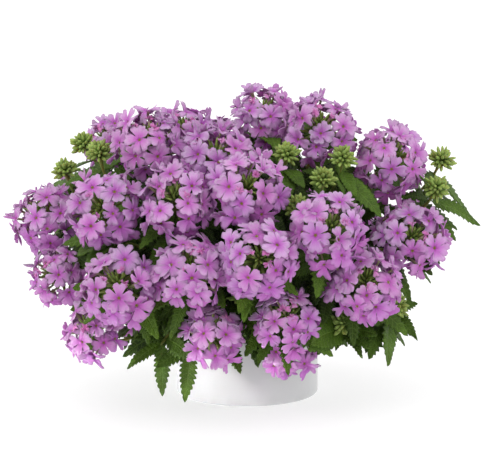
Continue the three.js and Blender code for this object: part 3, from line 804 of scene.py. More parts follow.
# ---------------------------------------------------------------- the pots and the soil
def rounded(corners, steps=5):
    """A profile through corners (radius, height, rounding), each made into an arc of its rounding.

    An arc leaves the corner's two sides at the distance r tan(turn / 2) from it. A point stands
    just outside each of its ends, so that the flat parts stay flat when they are shaded.
    """
    corners = np.asarray(corners, float)
    profile, roundings = corners[:, :2], corners[1:-1, 2]
    points = [profile[:1]]
    for before, corner, after, radius in zip(profile[:-2], profile[1:-1], profile[2:], roundings):
        come, go = unit(corner - before), unit(after - corner)
        turn = math.acos(np.clip(come @ go, -1, 1))
        cut = radius * math.tan(turn / 2)
        inward = unit(go - come)
        centre = corner + inward * radius / math.cos(turn / 2)
        angles = np.linspace(-turn / 2, turn / 2, steps)[:, None]
        tangent = unit(come + go)
        arc = centre - inward * radius * np.cos(angles) + tangent * radius * np.sin(angles)
        support = 0.35 * cut
        points += [[corner - come * (cut + support)], arc, [corner + go * (cut + support)]]
    return np.vstack(points + [profile[-1:]])


def turned(profile, columns=96):
    """A turned body: the profile's points (radius, height), from pole to pole, carried round +Z."""
    angles = np.arange(columns) * 360 / columns
    radius, height = profile[1:-1, 0, None], profile[1:-1, 1, None]
    rings = polar(angles[None], radius, height)[None]
    ends = polar(np.zeros(2), np.zeros(2), profile[[0, -1], 1])
    v = np.linspace(0, 1, len(profile))
    return closed_shells(rings, ends[:1], ends[1:], np.linspace(0, 1, columns + 1), v)


def cover_pot_profile(pots):
    """Outside of the white pot up from the foot, over the rim and down the inside to its floor."""
    outer, height, floor = POT_RADIUS * MM, pots.cover_height, 0.004
    inner = outer - pots.cover_wall
    corners = [
        (0, 0, 0),
        (outer, 0, 0.0022),
        (outer, height, pots.cover_round),
        (inner, height, pots.cover_round),
        (inner, floor, 0.002),
        (0, floor, 0),
    ]
    return rounded(corners)


def growing_pot_profile(pots):
    """Outside of the black pot up from its floor, round its lip and down the inside."""
    base, top = 0.0043, LINER_TOP * MM
    under, wall = top - pots.lip_height, pots.liner_wall
    corners = [
        (0, base, 0),
        (pots.liner_base, base, 0.0015),
        (pots.liner_top, under, 0.0004),
        (pots.liner_top + pots.lip, under, 0.0005),
        (pots.liner_top + pots.lip, top, 0.0009),
        (pots.liner_top - wall, top, 0.0006),
        (pots.liner_base - wall, base + wall, 0.001),
        (0, base + wall, 0),
    ]
    return rounded(corners)


def soil_shell(pots):
    """The soil: a tapered plug whose face is a polar grid raised by crumbs.

    A crumb of radius r stands on the face as sqrt(r^2 - d^2), d from its middle, and the highest
    crumb wins. A slow wave of two cosines carries them.
    """
    rng = np.random.default_rng(5)
    columns, rows, innermost = 120, 44, 0.0012
    low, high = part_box("soil")
    base, top, rim = low.z, high.z, high.x
    foot, shoulder = pots.liner_base - pots.liner_wall - 2 * GAP * MM, top - 0.003
    angles = np.arange(columns) * 360 / columns
    radii = np.linspace(rim, innermost, rows)
    side = polar(angles[None], np.array([[foot], [rim]]), np.array([[base], [shoulder]]))
    face = polar(angles[None], radii[:, None], 0.0)
    reach = rim * np.sqrt(rng.random(pots.crumbs))
    turn = rng.uniform(0, 360, pots.crumbs)
    size = rng.uniform(0.0008, 0.0026, pots.crumbs)
    middles = polar(turn, reach, 0.0)
    apart = ((face[:, :, None, :2] - middles[None, None, :, :2]) ** 2).sum(-1)
    crumbs = np.sqrt(np.maximum(size**2 - apart, 0)).max(-1)
    wave = 0.0006 * (np.cos(face[..., 0] * 170) + np.cos(face[..., 1] * 210 + 1))
    ground, tallest_crumb = top - 0.0022, 0.0019
    face[..., 2] = ground + wave + np.minimum(crumbs, tallest_crumb)
    rings = np.concatenate([side, face])[None]
    last = np.array([[0.0, 0.0, face[-1, :, 2].mean()]])
    v = np.linspace(0, 1, rings.shape[1] + 2)
    return closed_shells(rings, np.array([[0.0, 0.0, base]]), last, np.linspace(0, 1, columns + 1), v)


# ---------------------------------------------------------------- stems
STEM_RINGS = 34
STEM_COLUMNS = 8
STEM_IN = {"head": 26, "bud": 13, "twig": 0}  # how far a stem runs on inside what it carries
# How a stem's radius changes from where its curve ends: by how much, from where, over what run.
SWELLING = {"head": ((1.6, -4, 10), (-1.8, 12, 14)), "bud": ((1.2, -2, 8),), "twig": ()}


def stem_paths(branch):
    """The middle lines of a branch's shoots: the first from the soil through its trunk, the others
    from inside the trunk, each on into the head or bud that it carries."""
    paths = []
    for n, (shoot, item) in enumerate(zip(branch["shoots"], branch["carried"])):
        run = [bezier(shoot, np.linspace(0, 1, 24))]
        if n == 0:
            foot = hole_place(branch["hole"]) + UP * (SOIL_TOP - HOLE_DEPTH + GAP)
            trunk = bezier(branch["trunk"], np.linspace(0, 1, 20)[:-1])
            run = [foot + UP * np.array([[0.0], [6.0]]), trunk] + run
        inside = item["size"] * STEM_IN[item["kind"]]
        if inside:
            end = shoot[-1]
            run.append(end + item["axis"] * np.linspace(0, inside, 6)[1:, None])
        points = np.vstack(run)
        travelled = np.concatenate([[0], np.cumsum(np.linalg.norm(np.diff(points, axis=0), axis=1))])
        shares = np.linspace(0, travelled[-1], STEM_RINGS)
        paths.append(np.stack([np.interp(shares, travelled, points[:, k]) for k in range(3)], axis=1))
    return np.array(paths)


def stem_shells(branch):
    """Stems of square section with rounded edges, thinner towards the end.

    The section's radius is r at its four corners and 0.8 r between them. Inside a head the stem
    swells to the green middle that the calyces stand on, and closes to a point.
    """
    paths = stem_paths(branch) * MM
    ways = unit(np.gradient(paths, axis=1))
    reference = np.cross(UP, unit(paths[:, -1] - paths[:, 0]))[:, None]
    side = unit(reference - ways * (reference * ways).sum(-1, keepdims=True))
    front = np.cross(ways, side)
    share = np.linspace(0, 1, STEM_RINGS)
    radius = np.tile(STEM["radius"] * MM * (1.0 - 0.3 * share), (len(paths), 1))
    for n, item in enumerate(branch["carried"]):
        start = branch["shoots"][n][-1] * MM
        inside = ((paths[n] - start) @ item["axis"]) / MM
        for growth, begins, run in SWELLING[item["kind"]]:
            radius[n] += growth * MM * np.clip((inside - begins) / run, 0, 1)
    radius[:, -1] *= 0.6
    column = np.arange(STEM_COLUMNS)
    angle = np.radians(column * 360 / STEM_COLUMNS)[:, None]
    section = np.where(column % 2, 0.8, 1.0)
    out = np.cos(angle) * side[:, :, None] + np.sin(angle) * front[:, :, None]
    rings = paths[:, :, None] + out * (radius[..., None] * section)[..., None]
    rng = np.random.default_rng(int(branch["hole"][0]))
    v = np.concatenate([[0], share, [1]])
    last = paths[:, -1] + ways[:, -1] * 0.0008
    across = np.linspace(0, 4, STEM_COLUMNS + 1)
    return closed_shells(rings, paths[:, 0], last, across, v, tone=rng.random(len(paths)))


# ---------------------------------------------------------------- florets
PETALS = 5
PETAL_TURN = 360 / PETALS
# A petal's outline, column by column: the cut between it and the one before, and then edge, notch
# and edge. First the share of the angle to its edge, without the cut, then the share of its length.
PETAL_EDGE = np.array([-1.0, -0.72, -0.3, 0.0, 0.3, 0.72, 1.0])
PETAL_REACH = np.array([0.3, 0.86, 0.98, 1.0, 0.84, 1.0, 0.98, 0.86])
PETAL_COLUMNS = len(PETAL_REACH)
LIMB_ROWS = np.array([0.45, 0.985, 1.0, 0.75, 0.45, 0.2])  # underside, rim, upper face
LIMB_SINKS = np.array([0.35, 0.35, 0, 0, 0, 0]) * MM  # how far the underside lies below the face
FLORET_V = [2.0, 1.95, 1.75, 1.5, 1.1, 1.0, 0.75, 0.45, 0.2, 0.0]  # up the tube, over the rim, in
CREASE = 0.0009  # how far a petal's midline sinks at its rim
THROAT_SHARE, THROAT_DIP = 0.45, 0.0012  # the part of a petal that dips to the throat, and how far
THROAT_DEPTH = 0.0021  # of the point that closes the throat
TUBE_RADII = np.array([0.7, 1.05]) * MM
TUBE_ENDS = np.array([-1.0, -0.13])  # shares of its length below the throat
# How florets and their petals differ, as the least and the most.
LENGTHS = (0.9, 1.07)  # a petal's length, against its floret's size
DROOPS = 20  # degrees that a petal's droop differs by, as a deviation
TWISTS, PETAL_TWISTS = (2, 12), 7  # degrees of a floret's twist, and a petal's deviation from it
WAVES = (-1.3, 1.3)  # height of a petal's wave
SPREADS, PETAL_SPREADS = (29.5, 35.0), (-2.0, 0.5)  # degrees from midline to edge, and a petal's own


def floret_shells(middles, ways, spins, size, cup, rng, flowers, curl=6, **marks):
    """Florets at the places given: a tube that opens to five wedge-shaped notched petals.

    Round the throat each petal has columns at its cut, at both edges, and between them. At share q
    of its length a point lies at the distance R q (1 - sqrt q + sqrt q reach) from the throat, and
    rises by the angle cup - droop q, where the droops lie round curl. Twist tips the petal about its
    midline, a wave of the height w q^2 cos 7a crosses it, and its midline sinks by crease q. The
    underside lies one thickness lower, and a tube hangs under it.
    """
    count = len(middles)
    frames = frames_about(ways, spins)
    each = (count, PETALS)
    length = size[:, None] * rng.uniform(*LENGTHS, each)
    droop = rng.normal(curl, DROOPS, each)
    twist = rng.uniform(*TWISTS, (count, 1)) + rng.normal(0, PETAL_TWISTS, each)
    wave = rng.uniform(*WAVES, each) * MM
    spread = rng.uniform(*SPREADS, (count, 1)) + rng.uniform(*PETAL_SPREADS, each)

    cut = np.full((count, PETALS, 1), -PETAL_TURN / 2)
    off_midline = np.concatenate([cut, PETAL_EDGE * spread[..., None]], axis=-1)
    angle = (PETAL_TURN * np.arange(PETALS)[:, None] + off_midline).reshape(count, 1, -1)
    off_midline = off_midline.reshape(count, 1, -1)

    def per_column(values):
        """One number for each petal, repeated over its columns."""
        return np.repeat(values, PETAL_COLUMNS, axis=1)[:, None]

    q = LIMB_ROWS[None, :, None]
    reach = 1 - np.sqrt(q) + np.sqrt(q) * np.tile(PETAL_REACH, PETALS)
    out = per_column(length) * q * reach
    rise = np.radians(cup[:, None, None] - per_column(droop) * q)
    lateral = out * np.sin(np.radians(off_midline))
    height = out * np.sin(rise) + lateral * per_column(np.tan(np.radians(twist)))
    height += per_column(wave) * q**2 * np.cos(np.radians(off_midline * 7))
    height -= CREASE * q * np.exp(-((off_midline / 10) ** 2))
    height -= THROAT_DIP * np.clip(1 - q / THROAT_SHARE, 0, 1)
    height -= LIMB_SINKS[None, :, None]
    limb = polar(angle, out * np.cos(rise), height)

    columns = PETAL_COLUMNS * PETALS
    even = np.arange(columns) * 360 / columns - PETAL_TURN / 2
    tube = polar(even[None], TUBE_RADII[:, None], TUBE_ENDS[:, None] * flowers.tube)
    local = np.concatenate([np.broadcast_to(tube, (count, *tube.shape)), limb], axis=1)
    rings = middles[:, None, None] + np.einsum("nrck,nkd->nrcd", local, frames)
    first = middles - ways * flowers.tube
    last = middles - ways * THROAT_DEPTH
    across = np.arange(columns + 1) / PETAL_COLUMNS
    return closed_shells(rings, first, last, across, FLORET_V, **marks)


def ring_places(rings, rng):
    """Turns and leans of a head's florets in degrees: ring by ring, each a little out of line."""
    round_head, lean = [], []
    for ring, (count, ring_lean) in enumerate(rings):
        step = 360 / count
        round_head.append(step * (np.arange(count) + 0.5 * ring) + rng.uniform(-0.13, 0.13, count) * step)
        lean.append(ring_lean + rng.uniform(-6, 6, count))
    return np.concatenate(round_head), np.concatenate(lean)


def directions(item, turns, leans):
    """World directions leaning out from a head's axis, turned about it, both in degrees."""
    head = frames_about(item["axis"], item["spin"])
    leans = np.radians(leans)
    return polar(turns, np.sin(leans), np.cos(leans)) @ head


def painted_shade_of(ways, rng):
    """Painted shade on a floret, 0 to 1: most on the underside of a head, away from the sun.

    shade = 0.5 - 0.75 (way . sun), a little uneven.
    """
    sun = unit(np.array([-0.25, -0.55, 0.8]))
    return np.clip(0.5 - 0.75 * (ways @ sun) + rng.normal(0, 0.12, len(ways)), 0, 1)


def open_florets(item, flowers, rng):
    """Open florets over a head's dome, turned a little towards the head's own way."""
    ways = directions(item, *ring_places(item["rings"], rng))
    count = len(ways)
    size = flowers.petal * rng.uniform(0.9, 1.08, count) * math.sqrt(item["size"])
    distance = flowers.dome * item["size"] + rng.uniform(-2.6, 2.2, count) * MM
    forward = flowers.forward * item["axis"]
    tilted = unit(ways + forward + math.tan(flowers.tilt) * rng.normal(0, 0.5, (count, 3)))
    cup = rng.normal(6, 8, count)
    return floret_shells(
        item["middle"] * MM + ways * distance[:, None], tilted, rng.uniform(0, PETAL_TURN, count),
        size, cup, rng, flowers,
        tone=rng.random(count), age=rng.uniform(0, 0.25, count), shade=painted_shade_of(ways, rng),
    )


def half_open_florets(item, flowers, rng):
    """A few smaller florets round a head's green middle, with their petals still drawn up."""
    count, sunk, curled_up = 3, 0.005, -70
    turns = 360 / count * np.arange(count) + rng.uniform(-40, 40, count)
    ways = directions(item, turns, rng.uniform(16, 30, count))
    return floret_shells(
        item["middle"] * MM + ways * (flowers.dome * item["size"] - sunk),
        unit(ways + rng.normal(0, 0.15, (count, 3))), rng.uniform(0, PETAL_TURN, count),
        flowers.petal * rng.uniform(0.4, 0.56, count), rng.uniform(52, 70, count), rng, flowers,
        curl=curled_up, tone=rng.random(count), age=rng.uniform(0.6, 1.0, count), shade=np.zeros(count),
    )


# ---------------------------------------------------------------- calyces and closed buds
SPINDLE_SHARE = np.array([0.0, 0.18, 0.5, 0.78, 0.94])
SPINDLE_RADIUS = np.array([0.45, 0.8, 1.0, 0.86, 0.45])


def spindles(feet, ways, lengths, radii, rng, columns=6):
    """Slender pointed bodies: a profile of radii carried along a way that bends a little.

    centre(s) = foot + way L s + bend s^2, and the section there has the radius r(s).
    """
    count = len(feet)
    frames = frames_about(ways, rng.uniform(0, 60, count))
    bend = np.einsum("nk,nkd->nd", rng.normal(0, 0.08, (count, 2)), frames[:, :2]) * lengths[:, None]
    share = SPINDLE_SHARE[None, :, None]
    centre = feet[:, None] + ways[:, None] * lengths[:, None, None] * share + bend[:, None] * share**2
    angle = np.arange(columns) * 360 / columns
    section = polar(angle[None], SPINDLE_RADIUS[:, None], 0.0)[None] * radii[:, None, None, None]
    rings = centre[:, :, None] + np.einsum("nrck,nkd->nrcd", section, frames)
    v = np.concatenate([[0.0], SPINDLE_SHARE, [1.0]])
    tip = feet + ways * lengths[:, None] + bend
    return closed_shells(rings, feet, tip, np.linspace(0, 1, columns + 1), v, tone=rng.random(count))


def floret_calyces(item, flowers, rng):
    """A calyx round the tube of every open floret of a head."""
    ways = directions(item, *ring_places(item["rings"], rng))
    count = len(ways)
    feet = item["middle"] * MM + ways * 0.0045 * item["size"]
    lengths = np.full(count, flowers.calyx * 1.15 * item["size"])
    return spindles(feet, ways, lengths, np.full(count, flowers.calyx_radius), rng)


def green_middle(item, flowers, rng):
    """The green middle of a head: slender buds on a spiral, longer towards the outside."""
    count, widest = 16, 40
    leans = widest * np.sqrt((np.arange(count) + 0.5) / count)
    ways = directions(item, GOLDEN_ANGLE * np.arange(count), leans)
    feet = item["middle"] * MM + item["axis"] * 0.006 + ways * 0.002
    lengths = item["size"] * flowers.calyx * rng.uniform(1.0, 1.5, count) * (0.8 + 0.4 * leans / widest)
    return spindles(feet, ways, lengths, flowers.calyx_radius * rng.uniform(0.65, 0.85, count), rng)


def closed_bud_head(item, flowers, rng):
    """A head that hasn't opened: close pointed buds over a small cone, shorter towards its middle."""
    count, widest, cone = 44, 92, 0.0035
    leans = widest * np.sqrt((np.arange(count) + 0.4) / count) + rng.normal(0, 4, count)
    ways = directions(item, GOLDEN_ANGLE * np.arange(count), leans)
    feet = item["middle"] * MM + ways * 0.0022 + item["axis"] * cone * np.cos(np.radians(leans))[:, None]
    lengths = flowers.bud * (0.72 + 0.33 * leans / widest) * rng.uniform(0.8, 1.2, count)
    return spindles(feet, ways, lengths, flowers.bud_radius * rng.uniform(0.8, 1.1, count), rng)


# ---------------------------------------------------------------- leaves
TOOTH_START, TOOTH_RUN = 0.1, 0.864  # where the teeth start and how much of the leaf they take
TOOTH_TIP, VEIN_PHASE = 0.45, 0.85  # where in a tooth its edge has come out, and where its vein ends
STALK_PLACES, STALK_WIDTHS = [0.0, 0.05], [0.035, 0.05]  # the rows of a leaf's short stalk
LAST_ROW, BLUNT = 0.985, 0.8  # the row before a leaf's point, and its width there against the rule's
SUNLIT = 0.15  # how deep in the plant leaves are still in full light
# How finely a leaf is made: the places in a tooth, and the columns over half of each face. Then how
# much painted shade darkens it the deeper it stands.
OUTER = {"phases": (0.0, TOOTH_TIP, VEIN_PHASE), "halves": (0.76, 0.5, 0.2), "shaded": 0.4}
INNER = {"phases": (0.0, 0.7), "halves": (0.5,), "shaded": 1.0}


def leaf_shells(branch, leaves, grade, rng):
    """Toothed leaves: flat closed tubes, with columns over the upper face and under it.

    The edge lies at the half width times 1 - bite at the foot of a tooth and a little over 1 at its
    tip. Veins leave the midrib one tooth before the tip that they run to, and the blade sinks along
    them by quilting |cos(pi phase)|^3. Both faces follow the same sheet, half a thickness apart.
    """
    sizes = bpy.context.scene.verbena_leaves
    phases, halves = np.array(grade["phases"]), np.array(grade["halves"])
    step = TOOTH_RUN / sizes.teeth
    foot = TOOTH_START + step * np.arange(sizes.teeth)
    s = np.concatenate([STALK_PLACES, (foot[:, None] + step * phases).ravel(), [LAST_ROW]])
    tooth = np.interp(phases, [0.0, TOOTH_TIP, VEIN_PHASE], [1 - sizes.bite, 1.0, 1.08])
    edge = np.concatenate([[1.0, 1.0], np.tile(tooth, sizes.teeth), [BLUNT]])
    width = np.concatenate([STALK_WIDTHS, half_width(s[2:])])
    top = np.concatenate([[1.0], halves, [0.0], -halves[::-1], [-1.0]])
    under = top[-2:0:-1]
    side = np.concatenate([top, under])
    face = np.concatenate([[0], np.ones(len(under)), [0], -np.ones(len(under))])
    is_edge = np.abs(side) == 1

    s_grid = np.broadcast_to(s[:, None], (len(s), len(side)))
    reach = side[None] * width[:, None] * np.where(is_edge[None], edge[:, None], 1.0)
    phase = (s[:, None] - TOOTH_START) / step + 1 - np.abs(side[None]) - VEIN_PHASE
    vein = np.abs(np.cos(np.pi * phase)) ** 3 * np.minimum(1, 3 * np.abs(side[None])) * (1 - 0.3 * is_edge)
    midrib = np.exp(-((side[None] / 0.12) ** 2))
    shape = -sizes.quilting * (vein + 0.6 * midrib) * np.minimum(1, width[:, None] * 4)
    half_thick = sizes.thickness / 2 * face[None] * (1 + 0.6 * midrib)
    lifts = (shape + half_thick) / MM

    rings = []
    for leaf in leaves:
        ripple = rng.uniform(0.3, 1.2) * np.sin(2 * np.pi * (1.6 * s_grid + rng.random()))
        placed = dict(leaf, root=nearest_on_stem(branch, leaf["root"]), roll=rng.normal(0, 0.25))
        rings.append(leaf_points(placed, s_grid, reach, lifts + ripple * side[None] ** 2))
    rings = np.array(rings) * MM
    middles = rings[:, -2:].mean(axis=2)
    last = middles[:, 1] + unit(middles[:, 1] - middles[:, 0]) * 0.0007
    across = np.concatenate([(1 - top) / 2, 1 + (1 + under) / 2, [2.0]])
    v = np.concatenate([[0.0], s, [1.0]])
    depths = np.array([depth_of(leaf_points(leaf, 0.5, 0.0, 0.0)) for leaf in leaves])
    depth = grade["shaded"] * np.maximum(depths - SUNLIT, 0)
    return closed_shells(
        rings, rings[:, 0].mean(axis=1), last, across, v, tone=rng.random(len(leaves)), depth=depth
    )


def nearest_on_stem(branch, point):
    """The point of the branch's curved stems that lies nearest to a leaf's root."""
    curves = [bezier(curve, np.linspace(0, 1, 60)) for curve in [branch["trunk"], *branch["shoots"]]]
    points = np.vstack(curves)
    return points[np.linalg.norm(points - point, axis=1).argmin()]


# ---------------------------------------------------------------- materials
class Graph:
    """Adds shader nodes to a tree and joins them."""

    def __init__(self, tree):
        self.tree = tree

    def add(self, kind, values=None, **settings):
        """A node with its settings. Each value is a number or colour, or a socket to link."""
        node = self.tree.nodes.new(kind)
        node.location = (220 * (len(self.tree.nodes) % 9), -190 * (len(self.tree.nodes) // 9))
        for name, setting in settings.items():
            setattr(node, name, setting)
        for name, value in (values or {}).items():
            if isinstance(value, bpy.types.NodeSocket):
                self.tree.links.new(value, node.inputs[name])
            else:
                node.inputs[name].default_value = opaque(value)
        return node

    def math(self, operation, *values, clamp=False):
        """One step of arithmetic on numbers or sockets."""
        node = self.add("ShaderNodeMath", dict(enumerate(values)), operation=operation, use_clamp=clamp)
        return node.outputs[0]

    def ramp(self, value, low, high, start=0.0, end=1.0, kind="SMOOTHSTEP"):
        """start below low, end above high, and a step between them."""
        values = {"Value": value, "From Min": low, "From Max": high, "To Min": start, "To Max": end}
        return self.add("ShaderNodeMapRange", values, interpolation_type=kind).outputs["Result"]

    def mix(self, factor, a, b):
        """Colour a where the factor is 0 and b where it is 1."""
        return self.add("ShaderNodeMix", {0: factor, 6: a, 7: b}, data_type="RGBA").outputs[2]

    def noise(self, position, scale, detail):
        """Soft noise from 0 to 1 over a position."""
        values = {"Vector": position, "Scale": scale, "Detail": detail}
        return self.add("ShaderNodeTexNoise", values).outputs["Fac"]

    def surface(self):
        """u and v of the piece's own map."""
        uv = self.add("ShaderNodeUVMap", uv_map="surface").outputs[0]
        parts = self.add("ShaderNodeSeparateXYZ", {0: uv})
        return parts.outputs[0], parts.outputs[1]

    def mark(self, name):
        """A number that the piece keeps on its points."""
        return self.add("ShaderNodeAttribute", attribute_name=name).outputs["Fac"]

    def place(self):
        """The position in the piece's own coordinates."""
        return self.add("ShaderNodeTexCoord").outputs["Object"]

    def group(self, tree, values):
        """The one output of a node group."""
        return self.add("ShaderNodeGroup", values, node_tree=tree).outputs[0]

    def patches(self, scale, low, high):
        """Soft patches over the piece."""
        values = {"Position": self.place(), "Scale": scale, "Low": low, "High": high}
        return self.group(soft_patches(), values)

    def grain(self, scale):
        """Fine relief over the piece."""
        return self.group(fine_relief(), {"Position": self.place(), "Scale": scale})

    def lines(self, coordinate, width):
        """Fine lines along the whole numbers of a coordinate."""
        return self.group(fine_lines(), {"Coordinate": coordinate, "Width": width})

    def toned(self, colour, tone, spread):
        """A colour made lighter or darker by a tone."""
        return self.group(shade_by_tone(), {"Colour": colour, "Tone": tone, "Spread": spread})

    def bump(self, height, distance):
        """The normal over a relief of the given depth in metres."""
        return self.add("ShaderNodeBump", {"Height": height, "Distance": distance}).outputs["Normal"]


def opaque(value):
    """A colour of three parts with an opaque fourth. Other values stay as they are."""
    return (*value, 1.0) if hasattr(value, "__len__") and len(value) == 3 else value


def effect(name, inputs, output, build):
    """A shader node group that puts out one value or colour, built once."""
    tree = bpy.data.node_groups.get(name)
    if tree:
        return tree
    tree = bpy.data.node_groups.new(name, "ShaderNodeTree")
    for socket, kind in inputs.items():
        tree.interface.new_socket(socket, in_out="INPUT", socket_type="NodeSocket" + kind)
    tree.interface.new_socket(output[0], in_out="OUTPUT", socket_type="NodeSocket" + output[1])
    graph = Graph(tree)
    given = graph.add("NodeGroupInput").outputs
    graph.add("NodeGroupOutput", {output[0]: build(graph, given)})
    return tree


def soft_patches():
    """Soft patches: low to high by a noise of the given scale on a position."""

    def build(graph, given):
        noise = graph.noise(given["Position"], given["Scale"], 3.0)
        return graph.ramp(noise, 0.3, 0.7, given["Low"], given["High"], "LINEAR")

    inputs = {"Position": "Vector", "Scale": "Float", "Low": "Float", "High": "Float"}
    return effect("soft patches", inputs, ("Value", "Float"), build)


def fine_relief():
    """Fine relief: two octaves of noise, the finer one four times as dense and half as high."""

    def build(graph, given):
        coarse = graph.noise(given["Position"], given["Scale"], 2.0)
        dense = graph.math("MULTIPLY", given["Scale"], 4.0)
        fine = graph.noise(given["Position"], dense, 1.0)
        return graph.math("ADD", coarse, graph.math("MULTIPLY", fine, 0.5))

    return effect("fine relief", {"Position": "Vector", "Scale": "Float"}, ("Height", "Float"), build)


def shade_by_tone():
    """A colour made lighter or darker by a number from 0 to 1, by up to the spread given."""

    def build(graph, given):
        centred = graph.math("SUBTRACT", given["Tone"], 0.5)
        value = graph.math("MULTIPLY_ADD", centred, given["Spread"], 1.0)
        values = {"Color": given["Colour"], "Value": value}
        return graph.add("ShaderNodeHueSaturation", values).outputs["Color"]

    inputs = {"Colour": "Color", "Tone": "Float", "Spread": "Float"}
    return effect("shade by tone", inputs, ("Colour", "Color"), build)


def fine_lines():
    """Fine lines: 1 along each whole number of the coordinate, fading out at the width given."""

    def build(graph, given):
        share = graph.math("FRACT", graph.math("ADD", given["Coordinate"], 0.5))
        away = graph.math("ABSOLUTE", graph.math("SUBTRACT", share, 0.5))
        return graph.ramp(away, 0.0, given["Width"], 1.0, 0.0)

    return effect("fine lines", {"Coordinate": "Float", "Width": "Float"}, ("Mask", "Float"), build)


def new_material(name, paint, **sockets):
    """A material: paint puts its colour, roughness and normal into the Principled shader, whose
    other sockets take the plain values given."""
    material = bpy.data.materials.new(name)
    material.use_nodes = True
    graph = Graph(material.node_tree)
    shader = material.node_tree.nodes["Principled BSDF"]
    for socket, value in sockets.items():
        shader.inputs[socket.replace("_", " ")].default_value = value
    for socket, source in paint(graph, bpy.context.scene.verbena_colours).items():
        material.node_tree.links.new(source, shader.inputs[socket])
    return material


def paint_petal(graph, colours):
    """Lilac petals: deep at the throat with a dark streak, lighter outwards, veined and mottled.

    v runs from 0 at the throat to 1 at the rim, and on to 2 down the underside and the tube.
    """
    u, v = graph.surface()
    off_middle = graph.math("ABSOLUTE", graph.math("SUBTRACT", graph.math("FRACT", u), 0.5))
    across = graph.math("MULTIPLY", off_middle, 2.0)
    colour = graph.mix(graph.ramp(v, 0.12, 0.85), colours.petal_deep, colours.petal_light)
    veins = graph.lines(graph.math("MULTIPLY", u, 7.0), 0.2)
    veins = graph.math("MULTIPLY", veins, graph.ramp(v, 0.3, 1.0, 0.45, 0.1))
    colour = graph.mix(veins, colour, colours.petal_deep)
    near_middle = graph.ramp(across, 0.02, 0.3, 1.0, 0.0)
    streak = graph.math("MULTIPLY", near_middle, graph.ramp(v, 0.15, 0.42, 0.6, 0.0))
    colour = graph.mix(streak, colour, colours.petal_streak)
    # pale rim: partly the petal's own pale edge, partly painted light that lifts the shade on its rounded
    # edge
    colour = graph.mix(graph.ramp(v, 0.84, 1.0, 0.0, 0.3), colour, colours.petal_rim_and_painted_light)
    colour = graph.toned(colour, graph.patches(190.0, 0.0, 1.0), 0.12)
    colour = graph.toned(colour, graph.mark("tone"), 0.2)
    # painted shade: florets on a head's underside, away from the light, take the shaded petal colour
    colour = graph.mix(graph.math("MULTIPLY", graph.mark("shade"), 0.7), colour, colours.petal_shade)
    # underside: the petal's own back colour, partly painted shade, deeper and more saturated than the face
    colour = graph.mix(graph.ramp(v, 1.1, 1.3, 0.0, 0.6), colour, colours.petal_back_and_shade)
    young = graph.math("MULTIPLY", graph.mark("age"), graph.ramp(v, 0.6, 1.0, 1.0, 0.7))
    colour = graph.mix(young, colour, colours.opening)
    colour = graph.mix(graph.ramp(v, 0.13, 0.2, 0.6, 0.0), colour, colours.petal_streak)
    colour = graph.mix(graph.ramp(v, 0.08, 0.13, 1.0, 0.0), colour, colours.throat)
    colour = graph.mix(graph.ramp(v, 1.55, 1.8), colour, colours.tube)
    relief = graph.math("ADD", graph.grain(700.0), veins)
    return {"Base Color": colour, "Normal": graph.bump(relief, 0.00015)}


def paint_calyx(graph, colours):
    """Yellow-green calyces, darker at the foot with painted shade, with ribs and short down."""
    u, v = graph.surface()
    # painted shade: darker towards the foot, where a calyx stands deep in its head or bud cluster
    colour = graph.mix(graph.ramp(v, 0.1, 0.85), colours.calyx_deep, colours.calyx)
    ribs = graph.lines(graph.math("MULTIPLY", u, 5.0), 0.35)
    colour = graph.mix(graph.math("MULTIPLY", ribs, 0.35), colour, colours.calyx_deep)
    colour = graph.toned(colour, graph.mark("tone"), 0.5)
    relief = graph.math("ADD", graph.grain(1500.0), ribs)
    return {"Base Color": colour, "Normal": graph.bump(relief, 0.0002)}


def paint_stem(graph, colours):
    """Olive stems: older and browner towards the soil, with edges along them and fine down."""
    u, v = graph.surface()
    young = graph.math("ADD", graph.ramp(v, 0.0, 0.45), graph.patches(60.0, -0.2, 0.2), clamp=True)
    colour = graph.mix(young, colours.stem_old, colours.stem)
    edges = graph.lines(u, 0.3)
    colour = graph.mix(graph.math("MULTIPLY", edges, 0.3), colour, colours.calyx)
    return {"Base Color": colour, "Normal": graph.bump(graph.grain(1300.0), 0.0002)}


